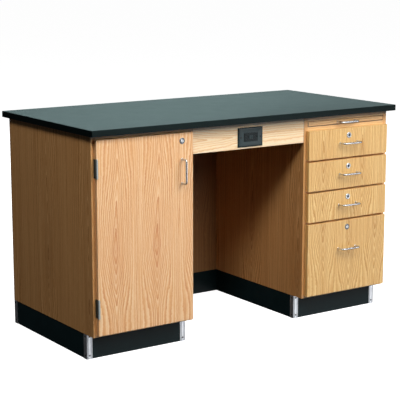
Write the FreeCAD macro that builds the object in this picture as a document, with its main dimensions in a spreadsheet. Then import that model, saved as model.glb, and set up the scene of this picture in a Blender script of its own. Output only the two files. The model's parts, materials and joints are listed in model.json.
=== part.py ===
import FreeCAD, Part
import os
import re
import Sketcher

# Instructor's desk: a resin worktop on two plywood pedestals, a cupboard on the left and a bank
# of drawers on the right, with a knee space between them. Millimetres, +Z up, +X to the right of
# a person who faces the fronts, origin on the floor under the middle of the whole desk.

SIZES = {
    # worktop and case
    "worktop_width": 1524.0,
    "worktop_depth": 762.0,
    "worktop_thick": 25.4,
    "worktop_corner": 4.0,
    "worktop_edge": 1.6,
    "desk_height": 914.4,
    "side_overhang": 18.0,
    "front_overhang": 42.0,
    "rear_overhang": 33.0,
    "pedestal_width": 461.0,
    "panel_thick": 19.0,
    "back_thick": 12.0,
    "top_rail_height": 22.0,
    "rail_thick": 19.0,
    "rail_depth": 60.0,
    "apron_height": 108.0,
    "knee_back_inset": 27.0,
    # plinth
    "plinth_height": 101.6,
    "plinth_thick": 19.0,
    "toe_recess": 55.0,
    "post_flange": 25.0,
    "post_wall": 2.5,
    "post_groove_width": 1.6,
    "post_groove_depth": 0.9,
    "post_groove_pitch": 3.5,
    "post_screw_inset": 10.0,
    "post_screw_foot": 15.0,
    "screw_head_radius": 3.4,
    "screw_head_thick": 1.6,
    "screw_shank_radius": 1.7,
    "screw_length": 14.0,
    # fronts
    "front_thick": 19.0,
    "front_gap": 2.4,
    "side_reveal": 12.0,
    "top_reveal": 16.0,
    "bottom_reveal": 10.0,
    "front_spacing": 9.0,
    "file_front_height": 315.0,
    "lock_drop": 31.0,
    "lock_inset": 51.0,
    "file_pull_drop": 122.0,
    "door_pull_drop": 152.0,
    # cupboard
    "shelf_level": 480.0,
    "shelf_setback": 30.0,
    "shelf_play": 1.0,
    "pin_radius": 2.5,
    "pin_depth": 9.0,
    "pin_tab": 9.0,
    "pin_tab_thick": 3.0,
    "pin_setback": 60.0,
    "pin_pitch": 32.0,
    # writing board
    "board_bay": 60.4,
    "board_thick": 19.0,
    "board_length": 500.0,
    "board_travel": 330.0,
    "board_play": 2.0,
    "board_side_play": 1.5,
    "runner_width": 19.0,
    "runner_play": 0.5,
    "board_stop_width": 300.0,
    "board_stop_height": 12.0,
    # drawer boxes and their slides
    "box_thick": 12.7,
    "box_depth": 558.8,
    "box_lift": 7.0,
    "box_bottom_thick": 6.4,
    "box_bottom_lift": 8.0,
    "small_box_height": 100.0,
    "file_box_height": 285.0,
    "slide_gap": 12.7,
    "slide_height": 45.0,
    "slide_steel": 1.2,
    "slide_flange": 9.5,
    "slide_clearance": 2.0,
    "slide_start": 4.0,
    "slide_length": 550.0,
    "slide_lift": 50.0,
    "file_slide_lift": 110.0,
    "inner_slide_height": 36.0,
    "middle_slide_height": 36.0,
    "file_inner_height": 26.0,
    # wire pulls
    "pull_centres": 96.0,
    "pull_projection": 35.0,
    "pull_radius": 4.0,
    "pull_bend": 10.0,
    "pull_screw_radius": 2.0,
    "pull_screw_head": 4.0,
    "pull_stud": 20.0,
    # cylinder locks
    "lock_radius": 9.5,
    "lock_flange_radius": 12.5,
    "lock_flange_thick": 1.6,
    "lock_length": 35.1,
    "lock_nut_radius": 13.5,
    "lock_nut_thick": 3.0,
    "plug_radius": 6.0,
    "plug_clearance": 0.05,
    "plug_proud": 0.5,
    "keyway_width": 1.6,
    "keyway_height": 7.0,
    "keyway_depth": 9.0,
    "cam_length": 36.0,
    "cam_half_width": 7.0,
    "cam_thick": 2.5,
    "cam_slack": 0.3,
    "slot_play": 1.0,
    "slot_rise": 13.0,
    "slot_reach": 32.0,
    "slot_side_play": 2.0,
    # hinges
    "hinge_height": 73.0,
    "hinge_inset": 108.0,
    "hinge_offset": 1.0,
    "hinge_stand": 5.0,
    "hinge_radius": 4.75,
    "hinge_steel": 2.0,
    "hinge_slack": 0.35,
    "leaf_slack": 0.3,
    "web_gap": 0.6,
    "tongue_root": 1.0,
    "tongue_lap": 0.4,
    "hinge_pin_radius": 2.5,
    "hinge_pin_clearance": 0.06,
    "hinge_pin_head": 4.2,
    "hinge_pin_head_thick": 1.6,
    "frame_leaf_length": 30.0,
    "door_leaf_width": 32.0,
    # power outlet
    "plate_width": 124.0,
    "plate_height": 79.4,
    "plate_thick": 6.0,
    "plate_bevel": 3.0,
    "plate_level": 828.0,
    "device_width": 66.5,
    "device_height": 33.0,
    "device_depth": 30.0,
    "device_proud": 1.0,
    "device_gap": 0.3,
    "strap_width": 106.0,
    "strap_height": 22.0,
    "strap_thick": 1.5,
    "strap_play": 1.0,
    "plate_screws": 96.8,
    "outlet_reach": 21.5,
    "blade_spread": 6.35,
    "blade_width": 2.0,
    "long_blade": 8.0,
    "short_blade": 6.6,
    "blade_offset": 2.0,
    "ground_offset": 8.5,
    "ground_radius": 2.4,
    "socket_depth": 14.0,
    "button_width": 7.0,
    "button_height": 14.0,
    "button_spread": 4.6,
    "button_proud": 1.3,
    "button_length": 5.0,
    "button_play": 0.35,
    "button_travel": 1.0,
    "button_bottom": 1.0,
    "outlet_box_width": 104.0,
    "outlet_box_height": 58.0,
    "outlet_box_depth": 46.0,
    "outlet_box_wall": 1.6,
    "apron_cut_width": 72.0,
    "apron_cut_height": 40.0,
    # how far a cutting tool reaches past the face it enters
    "overcut": 1.0,
}

# Named places, each worked out from the sizes and from the places before it.
PLACES = {
    "pull_reach": "front_gap + front_thick + pull_projection - front_overhang",
    "worktop_front": "pull_reach - (worktop_depth + pull_reach) / 2",
    "worktop_back": "worktop_front + worktop_depth",
    "carcass_front": "worktop_front + front_overhang",
    "carcass_back": "worktop_back - rear_overhang",
    "carcass_left": "side_overhang - worktop_width / 2",
    "carcass_right": "worktop_width / 2 - side_overhang",
    "carcass_top": "desk_height - worktop_thick",
    "left_inner": "carcass_left + pedestal_width",
    "right_inner": "carcass_right - pedestal_width",
    "left_bay_low": "carcass_left + panel_thick",
    "left_bay_high": "left_inner - panel_thick",
    "right_bay_low": "right_inner + panel_thick",
    "right_bay_high": "carcass_right - panel_thick",
    "inside_back": "carcass_back - back_thick",
    "floor_top": "plinth_height + panel_thick",
    "rail_back": "carcass_front + rail_depth",
    "face_back": "carcass_front - front_gap",
    "face_front": "face_back - front_thick",
    "fronts_low": "plinth_height + bottom_reveal",
    "toe_front": "carcass_front + toe_recess",
    "knee_front": "carcass_back - knee_back_inset - panel_thick",
    # door
    "door_left": "carcass_left + side_reveal",
    "door_right": "left_inner - side_reveal",
    "door_top": "carcass_top - top_reveal",
    "door_lock_x": "door_right - lock_inset",
    "door_lock_z": "door_top - lock_drop",
    "hinge_x": "door_left - hinge_offset",
    "hinge_y": "face_front - hinge_stand",
    "upper_hinge_z": "door_top - hinge_inset",
    "lower_hinge_z": "fronts_low + hinge_inset",
    # writing board
    "board_top": "carcass_top - top_rail_height - board_play",
    "board_low": "board_top - board_thick",
    "board_rail_top": "board_low - board_play",
    # drawers
    "drawer_left": "right_inner + side_reveal",
    "drawer_right": "carcass_right - side_reveal",
    "drawer_middle": "(drawer_left + drawer_right) / 2",
    "drawers_top": "carcass_top - board_bay",
    "file_top": "fronts_low + file_front_height",
    "small_front": "(drawers_top - file_top - 3 * front_spacing) / 3",
    "drawer_3_low": "file_top + front_spacing",
    "drawer_2_low": "drawer_3_low + small_front + front_spacing",
    "drawer_1_low": "drawer_2_low + small_front + front_spacing",
    "rail_3_low": "file_top + (front_spacing - rail_thick) / 2",
    "rail_2_low": "drawer_3_low + small_front + (front_spacing - rail_thick) / 2",
    "rail_1_low": "drawer_2_low + small_front + (front_spacing - rail_thick) / 2",
    "board_rail_low": "board_rail_top - rail_thick",
    "box_left": "right_bay_low + slide_gap",
    "box_right": "right_bay_high - slide_gap",
    # locks
    "lock_grip": "front_thick + box_thick",
    "cam_front": "lock_length + cam_slack",
    "cam_y": "face_front + cam_front",
}

SHEET = "Sizes"
FLAT = 0.01     # an edge whose ends differ by less than this lies in one plane
WORD = re.compile(r"[a-z][a-z0-9_]*")
TURN = {"X": ((0, 1, 0), 90), "Y": ((1, 0, 0), -90), "Z": ((0, 0, 1), 0)}

doc = FreeCAD.newDocument("teacher_desk")
sub_parts = []


def fill_sheet():
    """Put every driving size in the spreadsheet under its own alias."""
    sheet = doc.addObject("Spreadsheet::Sheet", SHEET)
    for row, (alias, size) in enumerate(SIZES.items(), start=1):
        sheet.set(f"A{row}", alias)
        sheet.set(f"B{row}", str(size))
        sheet.setAlias(f"B{row}", alias)
    doc.recompute()


def formula(text):
    """Return text with its places worked out and its sizes read from the sheet."""
    def swap(match):
        word = match.group(0)
        if word in PLACES:
            return "(" + formula(PLACES[word]) + ")"
        if word in SIZES:
            return f"{SHEET}.{word}"
        return word
    return WORD.sub(swap, text)


def bind(thing, name, text):
    thing.setExpression(name, formula(text))


def place(thing, corner, turn=None):
    """Put a thing at a corner of three formulas, turned about an axis by so many degrees."""
    if turn is not None:
        axis, degrees = turn
        rotation = FreeCAD.Rotation(FreeCAD.Vector(*axis), degrees)
        thing.Placement = FreeCAD.Placement(FreeCAD.Vector(), rotation)
    for letter, text in zip("xyz", corner):
        bind(thing, f"Placement.Base.{letter}", text)


def keep(thing, label):
    """Name a finished sub-part, which is written to its own file."""
    thing.Label = label
    sub_parts.append(thing)


# ---------------------------------------------------------------- solids that are joined or cut

def box(name, start, end):
    """A box between two opposite corners, given in either order."""
    solid = doc.addObject("Part::Box", name)
    for side, low, high in zip(("Length", "Width", "Height"), start, end):
        bind(solid, side, f"abs(({high}) - ({low}))")
    place(solid, [f"min({low}; {high})" for low, high in zip(start, end)])
    return solid


def rod(name, start, axis, length, radius):
    """A cylinder from its start towards +X, +Y or +Z."""
    solid = doc.addObject("Part::Cylinder", name)
    bind(solid, "Radius", radius)
    bind(solid, "Height", length)
    place(solid, start, TURN[axis])
    return solid


def fuse(name, pieces):
    solid = doc.addObject("Part::MultiFuse", name)
    solid.Shapes = pieces
    return solid


def group(name, pieces):
    """Separate solids that share one node."""
    solids = doc.addObject("Part::Compound", name)
    solids.Links = pieces
    return solids


def cut(name, base, tools):
    solid = doc.addObject("Part::Cut", name)
    solid.Base = base
    solid.Tool = tools[0] if len(tools) == 1 else group(name + "_tools", tools)
    return solid


def copy_of(master, name, corner, turn=None):
    """A copy of a master piece at a corner of three formulas."""
    piece = group(name, [master])
    place(piece, corner, turn)
    return piece


# ---------------------------------------------------------------- sketches

def sketch_on(body, role, name):
    sketch = body.newObject("Sketcher::SketchObject", name)
    plane = [item for item in body.Origin.OriginFeatures if item.Role == role][0]
    sketch.AttachmentSupport = [(plane, "")]
    sketch.MapMode = "FlatFace"
    return sketch


def pin_point(sketch, line, across, up):
    """Tie the start of a line to two formulas, measured from the sketch's origin."""
    for kind, text in (("DistanceX", across), ("DistanceY", up)):
        index = sketch.addConstraint(Sketcher.Constraint(kind, -1, 1, line, 1, 1.0))
        bind(sketch, f"Constraints[{index}]", text)


def outline(sketch, points):
    """A closed outline through points whose two coordinates are formulas."""
    first = sketch.GeometryCount
    count = len(points)
    for step in range(count):
        start = FreeCAD.Vector(step, step % 2, 0)
        end = FreeCAD.Vector(step + 1, (step + 1) % 2, 0)
        sketch.addGeometry(Part.LineSegment(start, end), False)
    for step in range(count):
        following = first + (step + 1) % count
        sketch.addConstraint(Sketcher.Constraint("Coincident", first + step, 2, following, 1))
    for step, (across, up) in enumerate(points):
        pin_point(sketch, first + step, across, up)


def rectangle(sketch, low, high):
    outline(sketch, [low, (high[0], low[1]), high, (low[0], high[1])])


def circle(sketch, centre, radius):
    round_line = Part.Circle(FreeCAD.Vector(1, 1, 0), FreeCAD.Vector(0, 0, 1), 1)
    index = sketch.addGeometry(round_line, False)
    for kind, text in (("DistanceX", centre[0]), ("DistanceY", centre[1])):
        number = sketch.addConstraint(Sketcher.Constraint(kind, -1, 1, index, 3, 1.0))
        bind(sketch, f"Constraints[{number}]", text)
    number = sketch.addConstraint(Sketcher.Constraint("Radius", index, 1.0))
    bind(sketch, f"Constraints[{number}]", radius)


def pad(body, sketch, length, name):
    feature = body.newObject("PartDesign::Pad", name)
    feature.Profile = sketch
    bind(feature, "Length", length)
    return feature


def revolve(body, sketch, name):
    """Turn a sketch on the XY plane about the body's Y axis."""
    feature = body.newObject("PartDesign::Revolution", name)
    feature.Profile = sketch
    feature.ReferenceAxis = (sketch, ["V_Axis"])
    feature.Angle = 360
    return feature


def upright_board(name, low, high, thick, back, round_holes=()):
    """A board padded forwards from the plane y = back, with round holes through it."""
    body = doc.addObject("PartDesign::Body", name)
    sketch = sketch_on(body, "XZ_Plane", name + "_outline")
    rectangle(sketch, low, high)
    for centre, radius in round_holes:
        circle(sketch, centre, radius)
    pad(body, sketch, thick, name + "_pad")
    bind(body, "Placement.Base.y", back)
    return body


# ---------------------------------------------------------------- masters used more than once

def make_pull(name):
    """A bent wire handle: feet on the plane y = 0, bar along X in front of it."""
    arm = "pull_projection - pull_radius - pull_bend"
    half_bar = "pull_centres / 2 - pull_bend"
    pieces = []
    for side, sign, turn in (("left", "-1", 180), ("right", "1", 270)):
        foot = (f"{sign} * pull_centres / 2", f"-({arm})", "0")
        pieces.append(rod(f"{name}_{side}_leg", foot, "Y", arm, "pull_radius"))
        bend = doc.addObject("Part::Torus", f"{name}_{side}_bend")
        bind(bend, "Radius1", "pull_bend")
        bind(bend, "Radius2", "pull_radius")
        bend.Angle3 = 90
        place(bend, (f"{sign} * ({half_bar})", f"-({arm})", "0"), ((0, 0, 1), turn))
        pieces.append(bend)
    start = (f"-({half_bar})", "pull_radius - pull_projection", "0")
    pieces.append(rod(name + "_bar", start, "X", f"2 * ({half_bar})", "pull_radius"))
    return fuse(name, pieces)


def make_pull_screws(name, grip):
    """Two screws that reach through the wood behind a pull, heads at the back."""
    pieces = []
    for side, sign in (("left", "-1"), ("right", "1")):
        start = (f"{sign} * pull_centres / 2", "0", "0")
        shank = rod(f"{name}_{side}_shank", start, "Y", grip, "pull_screw_radius")
        end = (start[0], grip, "0")
        head = rod(f"{name}_{side}_head", end, "Y", "screw_head_thick", "pull_screw_head")
        pieces.append(fuse(f"{name}_{side}", [shank, head]))
    return pieces


def make_pull_studs(name):
    """Two plain studs that hold a pull in the edge of a board."""
    pieces = []
    for side, sign in (("left", "-1"), ("right", "1")):
        start = (f"{sign} * pull_centres / 2", "0", "0")
        pieces.append(rod(f"{name}_{side}", start, "Y", "pull_stud", "pull_screw_radius"))
    return pieces


def make_lock_case(name, grip):
    """The fixed cylinder of a lock: flange on the plane y = 0, round nut behind the wood."""
    body = doc.addObject("PartDesign::Body", name)
    sketch = sketch_on(body, "XY_Plane", name + "_section")
    bore = "plug_radius + plug_clearance"
    outline(sketch, [
        (bore, "-lock_flange_thick"),
        ("lock_flange_radius - lock_flange_thick", "-lock_flange_thick"),
        ("lock_flange_radius", "-lock_flange_thick / 3"),
        ("lock_flange_radius", "0"),
        ("lock_radius", "0"),
        ("lock_radius", grip),
        ("lock_nut_radius", grip),
        ("lock_nut_radius", f"{grip} + lock_nut_thick"),
        ("lock_radius", f"{grip} + lock_nut_thick"),
        ("lock_radius", "lock_length"),
        (bore, "lock_length"),
    ])
    revolve(body, sketch, name + "_turned")
    return body


def make_lock_plug(name):
    """The turning core of a lock with its keyway, and the cam on its tail."""
    core = rod(name + "_core", ("0", "-lock_flange_thick - plug_proud", "0"), "Y",
               "lock_flange_thick + plug_proud + cam_front", "plug_radius")
    arm = box(name + "_arm", ("-(cam_length - cam_half_width)", "cam_front", "-cam_half_width"),
              ("0", "cam_front + cam_thick", "cam_half_width"))
    tip = rod(name + "_tip", ("-(cam_length - cam_half_width)", "cam_front", "0"), "Y",
              "cam_thick", "cam_half_width")
    hub = rod(name + "_hub", ("0", "cam_front", "0"), "Y", "cam_thick", "cam_half_width")
    screw = rod(name + "_screw", ("0", "cam_front + cam_thick", "0"), "Y",
                "screw_head_thick", "pull_screw_head")
    keyway = box(name + "_keyway",
                 ("-keyway_width / 2", "-lock_flange_thick - plug_proud", "-keyway_height / 2"),
                 ("keyway_width / 2", "keyway_depth", "keyway_height / 2"))
    return cut(name, fuse(name + "_solid", [core, arm, tip, hub, screw]), [keyway])


# ---------------------------------------------------------------- case

def make_worktop():
    body = doc.addObject("PartDesign::Body", "worktop")
    sketch = sketch_on(body, "XY_Plane", "worktop_outline")
    rectangle(sketch, ("-worktop_width / 2", "worktop_front"),
              ("worktop_width / 2", "worktop_back"))
    slab = pad(body, sketch, "worktop_thick", "worktop_slab")
    bind(body, "Placement.Base.z", "carcass_top")
    doc.recompute()
    corners = []
    for number, edge in enumerate(slab.Shape.Edges, start=1):
        if edge.BoundBox.ZLength > FLAT:
            corners.append(f"Edge{number}")
    rounded = body.newObject("PartDesign::Fillet", "worktop_corners")
    rounded.Base = (slab, corners)
    bind(rounded, "Radius", "worktop_corner")
    doc.recompute()
    rims = []
    for number, edge in enumerate(rounded.Shape.Edges, start=1):
        if edge.BoundBox.ZLength < FLAT:
            rims.append(f"Edge{number}")
    eased = body.newObject("PartDesign::Fillet", "worktop_rims")
    eased.Base = (rounded, rims)
    bind(eased, "Radius", "worktop_edge")
    body.Tip = eased
    keep(body, "worktop")


def pin_places():
    """Front and rear rows of the shelf pins."""
    return ("carcass_front + pin_setback", "inside_back - pin_setback")


PIN_LEVEL = "shelf_level - pin_tab_thick / 2"
PIN_STEPS = range(-3, 4)    # holes below and above the one that is in use


def cupboard_side(name, low, high, face, into):
    """A side of the cupboard, bored in two rows for the shelf pins."""
    board = box(name + "_board", (low, "carcass_front", "plinth_height"),
                (high, "carcass_back", "carcass_top"))
    holes = []
    for row, depth in enumerate(pin_places()):
        for step in PIN_STEPS:
            start = (f"min({face}; {face} + {into} * pin_depth)", depth,
                     f"{PIN_LEVEL} + {step} * pin_pitch")
            holes.append(rod(f"{name}_hole_{row}_{len(holes)}", start, "X", "pin_depth",
                             "pin_radius"))
    keep(cut(name, board, holes), name)


def make_shelf_pins():
    pieces = []
    for side, face, out in (("left", "left_bay_low", "1"), ("right", "left_bay_high", "-1")):
        for row, depth in enumerate(pin_places()):
            name = f"pin_{side}_{row}"
            start = (f"min({face}; {face} - ({out}) * pin_depth)", depth, PIN_LEVEL)
            shank = rod(name + "_shank", start, "X", "pin_depth", "pin_radius")
            tab = box(name + "_tab",
                      (face, f"{depth} - pin_tab / 2", "shelf_level - pin_tab_thick"),
                      (f"{face} + ({out}) * pin_tab", f"{depth} + pin_tab / 2", "shelf_level"))
            pieces.append(fuse(name, [shank, tab]))
    keep(group("shelf_pins", pieces), "shelf_pins")


def cam_slot(name, across, low):
    """The pocket in a rail's underside that a lock's cam turns up into."""
    return box(name, (f"{across} - slot_reach", "cam_y - slot_play", low),
               (f"{across} + cam_half_width + slot_side_play",
                "cam_y + cam_thick + slot_play", f"{low} + slot_rise"))


def make_left_pedestal():
    cupboard_side("left_outer_side", "carcass_left", "left_bay_low", "left_bay_low", "-1")
    cupboard_side("left_inner_side", "left_bay_high", "left_inner", "left_bay_high", "1")
    keep(box("left_bottom", ("left_bay_low", "carcass_front", "plinth_height"),
             ("left_bay_high", "inside_back", "floor_top")), "left_bottom")
    keep(box("left_back", ("left_bay_low", "inside_back", "plinth_height"),
             ("left_bay_high", "carcass_back", "carcass_top")), "left_back")
    low = "carcass_top - top_rail_height"
    front = box("left_front_rail", ("left_bay_low", "carcass_front", low),
                ("left_bay_high", "rail_back", "carcass_top"))
    slotted = cut("left_slotted_rail", front, [cam_slot("left_slot", "door_lock_x", low)])
    rear = box("left_rear_rail", ("left_bay_low", "inside_back - rail_depth", low),
               ("left_bay_high", "inside_back", "carcass_top"))
    keep(group("left_rails", [slotted, rear]), "left_rails")
    keep(box("cupboard_shelf", ("left_bay_low + shelf_play", "carcass_front + shelf_setback",
                                "shelf_level"),
             ("left_bay_high - shelf_play", "inside_back - shelf_play",
              "shelf_level + panel_thick")), "cupboard_shelf")
    make_shelf_pins()


def make_right_pedestal():
    keep(box("right_inner_side", ("right_inner", "carcass_front", "plinth_height"),
             ("right_bay_low", "carcass_back", "carcass_top")), "right_inner_side")
    keep(box("right_outer_side", ("right_bay_high", "carcass_front", "plinth_height"),
             ("carcass_right", "carcass_back", "carcass_top")), "right_outer_side")
    keep(box("right_bottom", ("right_bay_low", "carcass_front", "plinth_height"),
             ("right_bay_high", "inside_back", "floor_top")), "right_bottom")
    keep(box("right_back", ("right_bay_low", "inside_back", "plinth_height"),
             ("right_bay_high", "carcass_back", "carcass_top")), "right_back")
    top_low = "carcass_top - top_rail_height"
    rails = [box("right_top_rail", ("right_bay_low", "carcass_front", top_low),
                 ("right_bay_high", "rail_back", "carcass_top")),
             box("right_rear_rail", ("right_bay_low", "inside_back - rail_depth", top_low),
                 ("right_bay_high", "inside_back", "carcass_top"))]
    for name in ("board_rail", "rail_1", "rail_2", "rail_3"):
        low = name + "_low"
        rail = box(name + "_bar", ("right_bay_low", "carcass_front", low),
                   ("right_bay_high", "rail_back", f"{low} + rail_thick"))
        rails.append(cut(name + "_slotted", rail,
                         [cam_slot(name + "_slot", "drawer_middle", low)]))
    keep(group("right_rails", rails), "right_rails")


def make_knee_space():
    cut_low = "plate_level - apron_cut_height / 2"
    board = box("apron_board", ("left_inner", "carcass_front", "carcass_top - apron_height"),
                ("right_inner", "carcass_front + panel_thick", "carcass_top"))
    hole = box("apron_hole", ("-apron_cut_width / 2", "carcass_front - overcut", cut_low),
               ("apron_cut_width / 2", "carcass_front + panel_thick + overcut",
                f"{cut_low} + apron_cut_height"))
    keep(cut("apron", board, [hole]), "apron")
    keep(box("knee_back", ("left_inner", "knee_front", "plinth_height"),
             ("right_inner", "knee_front + panel_thick", "carcass_top")), "knee_back")


# ---------------------------------------------------------------- plinth

def post_corners():
    """The eight outer corners of the two plinths, with the way each one faces inwards."""
    corners = []
    for side, low, high in (("left", "carcass_left", "left_inner"),
                            ("right", "right_inner", "carcass_right")):
        corners.append((side + "_front_a", low, "toe_front", 1, 1))
        corners.append((side + "_front_b", high, "toe_front", -1, 1))
        corners.append((side + "_rear_a", low, "carcass_back", 1, -1))
        corners.append((side + "_rear_b", high, "carcass_back", -1, -1))
    return corners


def post_screws(name, x, y, dx, dy):
    """Two screws through each flange of a corner post."""
    screws = []
    for level, z in (("low", "post_screw_foot"),
                     ("high", "plinth_height - post_screw_inset")):
        middle_x = f"{x} + ({dx}) * post_flange / 2"
        middle_y = f"{y} + ({dy}) * post_flange / 2"
        for axis, middle, face, way in (("Y", middle_x, y, dy), ("X", middle_y, x, dx)):
            label = f"{name}_{level}_{axis.lower()}"
            head_end = f"{face} - ({way}) * screw_head_thick"
            shank_end = f"{face} + ({way}) * screw_length"
            head_low = f"min({face}; {head_end})"
            shank_low = f"min({face}; {shank_end})"
            head_at = (middle, head_low, z) if axis == "Y" else (head_low, middle, z)
            shank_at = (middle, shank_low, z) if axis == "Y" else (shank_low, middle, z)
            head = rod(label + "_head", head_at, axis, "screw_head_thick", "screw_head_radius")
            shank = rod(label + "_shank", shank_at, axis, "screw_length", "screw_shank_radius")
            screws.append((head, shank))
    return screws


GROOVE_PLACES = ("post_groove_pitch", "2 * post_groove_pitch",
                 "(post_flange - 2 * post_groove_pitch)", "(post_flange - post_groove_pitch)")


def make_post(name, x, y, dx, dy):
    """An angle post with grooves down the outside of both flanges."""
    end_x = f"{x} + ({dx}) * post_flange"
    end_y = f"{y} + ({dy}) * post_flange"
    flanges = [box(name + "_a", (x, y, "0"), (end_x, f"{y} + ({dy}) * post_wall",
                                              "plinth_height")),
               box(name + "_b", (x, y, "0"), (f"{x} + ({dx}) * post_wall", end_y,
                                              "plinth_height"))]
    grooves = []
    for step, along in enumerate(GROOVE_PLACES):
        groove_x = f"{x} + ({dx}) * {along}"
        groove_y = f"{y} + ({dy}) * {along}"
        grooves.append(box(f"{name}_ga{step}",
                           (f"{groove_x} - post_groove_width / 2", y, "-overcut"),
                           (f"{groove_x} + post_groove_width / 2",
                            f"{y} + ({dy}) * post_groove_depth", "plinth_height + overcut")))
        grooves.append(box(f"{name}_gb{step}",
                           (x, f"{groove_y} - post_groove_width / 2", "-overcut"),
                           (f"{x} + ({dx}) * post_groove_depth",
                            f"{groove_y} + post_groove_width / 2", "plinth_height + overcut")))
    return cut(name + "_grooved", fuse(name + "_angle", flanges), grooves)


def make_plinth():
    wall = "post_wall"
    thick = "(post_wall + plinth_thick)"
    boards = []
    for side, low, high in (("left", "carcass_left", "left_inner"),
                            ("right", "right_inner", "carcass_right")):
        front, back = "toe_front", "carcass_back"
        boards.append(box(side + "_toe_board", (f"{low} + {wall}", f"{front} + {wall}", "0"),
                          (f"{high} - {wall}", f"{front} + {thick}", "plinth_height")))
        boards.append(box(side + "_rear_board", (f"{low} + {wall}", f"{back} - {thick}", "0"),
                          (f"{high} - {wall}", f"{back} - {wall}", "plinth_height")))
        for end, edge, way in (("a", low, "1"), ("b", high, "-1")):
            boards.append(box(f"{side}_side_board_{end}",
                              (f"{edge} + {way} * {wall}", f"{front} + {thick}", "0"),
                              (f"{edge} + {way} * {thick}", f"{back} - {thick}",
                               "plinth_height")))
    boards.append(box("knee_plinth_board", (f"left_inner - {wall}", "knee_front", "0"),
                      (f"right_inner + {wall}", "knee_front + plinth_thick", "plinth_height")))
    screws = []
    posts = []
    for name, x, y, dx, dy in post_corners():
        screws += post_screws("screw_" + name, x, y, dx, dy)
        posts.append(make_post("post_" + name, x, y, dx, dy))
    shanks = [shank for head, shank in screws]
    bored_boards = cut("bored_plinth_boards", group("plinth_board_set", boards), shanks)
    keep(bored_boards, "plinth_boards")
    keep(cut("plinth_corner_posts", group("post_set", posts), shanks), "plinth_corner_posts")
    whole = [fuse(head.Name + "_screw", [head, shank]) for head, shank in screws]
    keep(group("plinth_screws", whole), "plinth_screws")


# ---------------------------------------------------------------- cupboard door

HINGE_LEVELS = (("upper", "upper_hinge_z"), ("lower", "lower_hinge_z"))
KNUCKLE = "(hinge_height - 4 * hinge_slack) / 5"


def knuckle_low(number):
    return f"-hinge_height / 2 + {number} * ({KNUCKLE} + hinge_slack)"


def make_frame_leaf():
    """The fixed leaf: three knuckles, a web beside the door and a wrap round the side panel."""
    pieces = []
    holes = []
    web_low = "hinge_offset - leaf_slack - hinge_steel"
    web_high = "hinge_offset - leaf_slack"
    case = "hinge_stand + front_thick + front_gap"
    inner = "panel_thick - side_reveal + hinge_offset"
    for number in (0, 2, 4):
        low = knuckle_low(number)
        high = f"{low} + {KNUCKLE}"
        pieces.append(rod(f"frame_knuckle_{number}", ("0", "0", low), "Z", KNUCKLE,
                          "hinge_radius"))
        pieces.append(box(f"frame_tongue_{number}",
                          (web_low, "hinge_pin_radius + tongue_root", low),
                          (web_high, "hinge_radius + web_gap + tongue_lap", high)))
        holes.append(rod(f"frame_bore_{number}", ("0", "0", f"{low} - overcut"), "Z",
                         f"{KNUCKLE} + 2 * overcut", "hinge_pin_radius"))
    half = "hinge_height / 2"
    pieces.append(box("frame_web", (web_low, "hinge_radius + web_gap", f"-{half}"),
                      (web_high, case, half)))
    pieces.append(box("frame_wrap", (web_low, f"{case} - hinge_steel", f"-{half}"),
                      (f"{inner} + hinge_steel", case, half)))
    pieces.append(box("frame_flap", (inner, f"{case} - hinge_steel", f"-{half}"),
                      (f"{inner} + hinge_steel", f"{case} + frame_leaf_length", half)))
    return cut("frame_leaf", fuse("frame_leaf_solid", pieces), holes)


def make_door_leaf():
    """The moving leaf: two knuckles, a web let into the door's edge and a flap on its back."""
    pieces = []
    holes = []
    web_low = "hinge_offset"
    web_high = "hinge_offset + hinge_steel"
    for number in (1, 3):
        low = knuckle_low(number)
        high = f"{low} + {KNUCKLE}"
        pieces.append(rod(f"door_knuckle_{number}", ("0", "0", low), "Z", KNUCKLE,
                          "hinge_radius"))
        pieces.append(box(f"door_tongue_{number}",
                          (web_low, "hinge_pin_radius + tongue_root", low),
                          (web_high, "hinge_stand + tongue_lap", high)))
        holes.append(rod(f"door_bore_{number}", ("0", "0", f"{low} - overcut"), "Z",
                         f"{KNUCKLE} + 2 * overcut", "hinge_pin_radius + hinge_pin_clearance"))
    half = "hinge_height / 2"
    back = "hinge_stand + front_thick"
    pieces.append(box("door_web", (web_low, "hinge_stand", f"-{half}"),
                      (web_high, back, half)))
    pieces.append(box("door_flap", (web_low, f"{back} - hinge_steel", f"-{half}"),
                      (f"{web_low} + door_leaf_width", back, half)))
    return cut("door_leaf", fuse("door_leaf_solid", pieces), holes)


def make_hinges():
    pin = fuse("hinge_pin", [
        rod("pin_shaft", ("0", "0", "-hinge_height / 2"), "Z", "hinge_height",
            "hinge_pin_radius"),
        rod("pin_top", ("0", "0", "hinge_height / 2"), "Z", "hinge_pin_head_thick",
            "hinge_pin_head"),
        rod("pin_tip", ("0", "0", "-hinge_height / 2 - hinge_pin_head_thick"), "Z",
            "hinge_pin_head_thick", "hinge_pin_head"),
    ])
    masters = (("hinge_frame_leaves", make_frame_leaf()),
               ("hinge_door_leaves", make_door_leaf()), ("hinge_pins", pin))
    for label, master in masters:
        pieces = [copy_of(master, f"{level}_{label}", ("hinge_x", "hinge_y", z))
                  for level, z in HINGE_LEVELS]
        keep(group(label, pieces), label)


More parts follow.
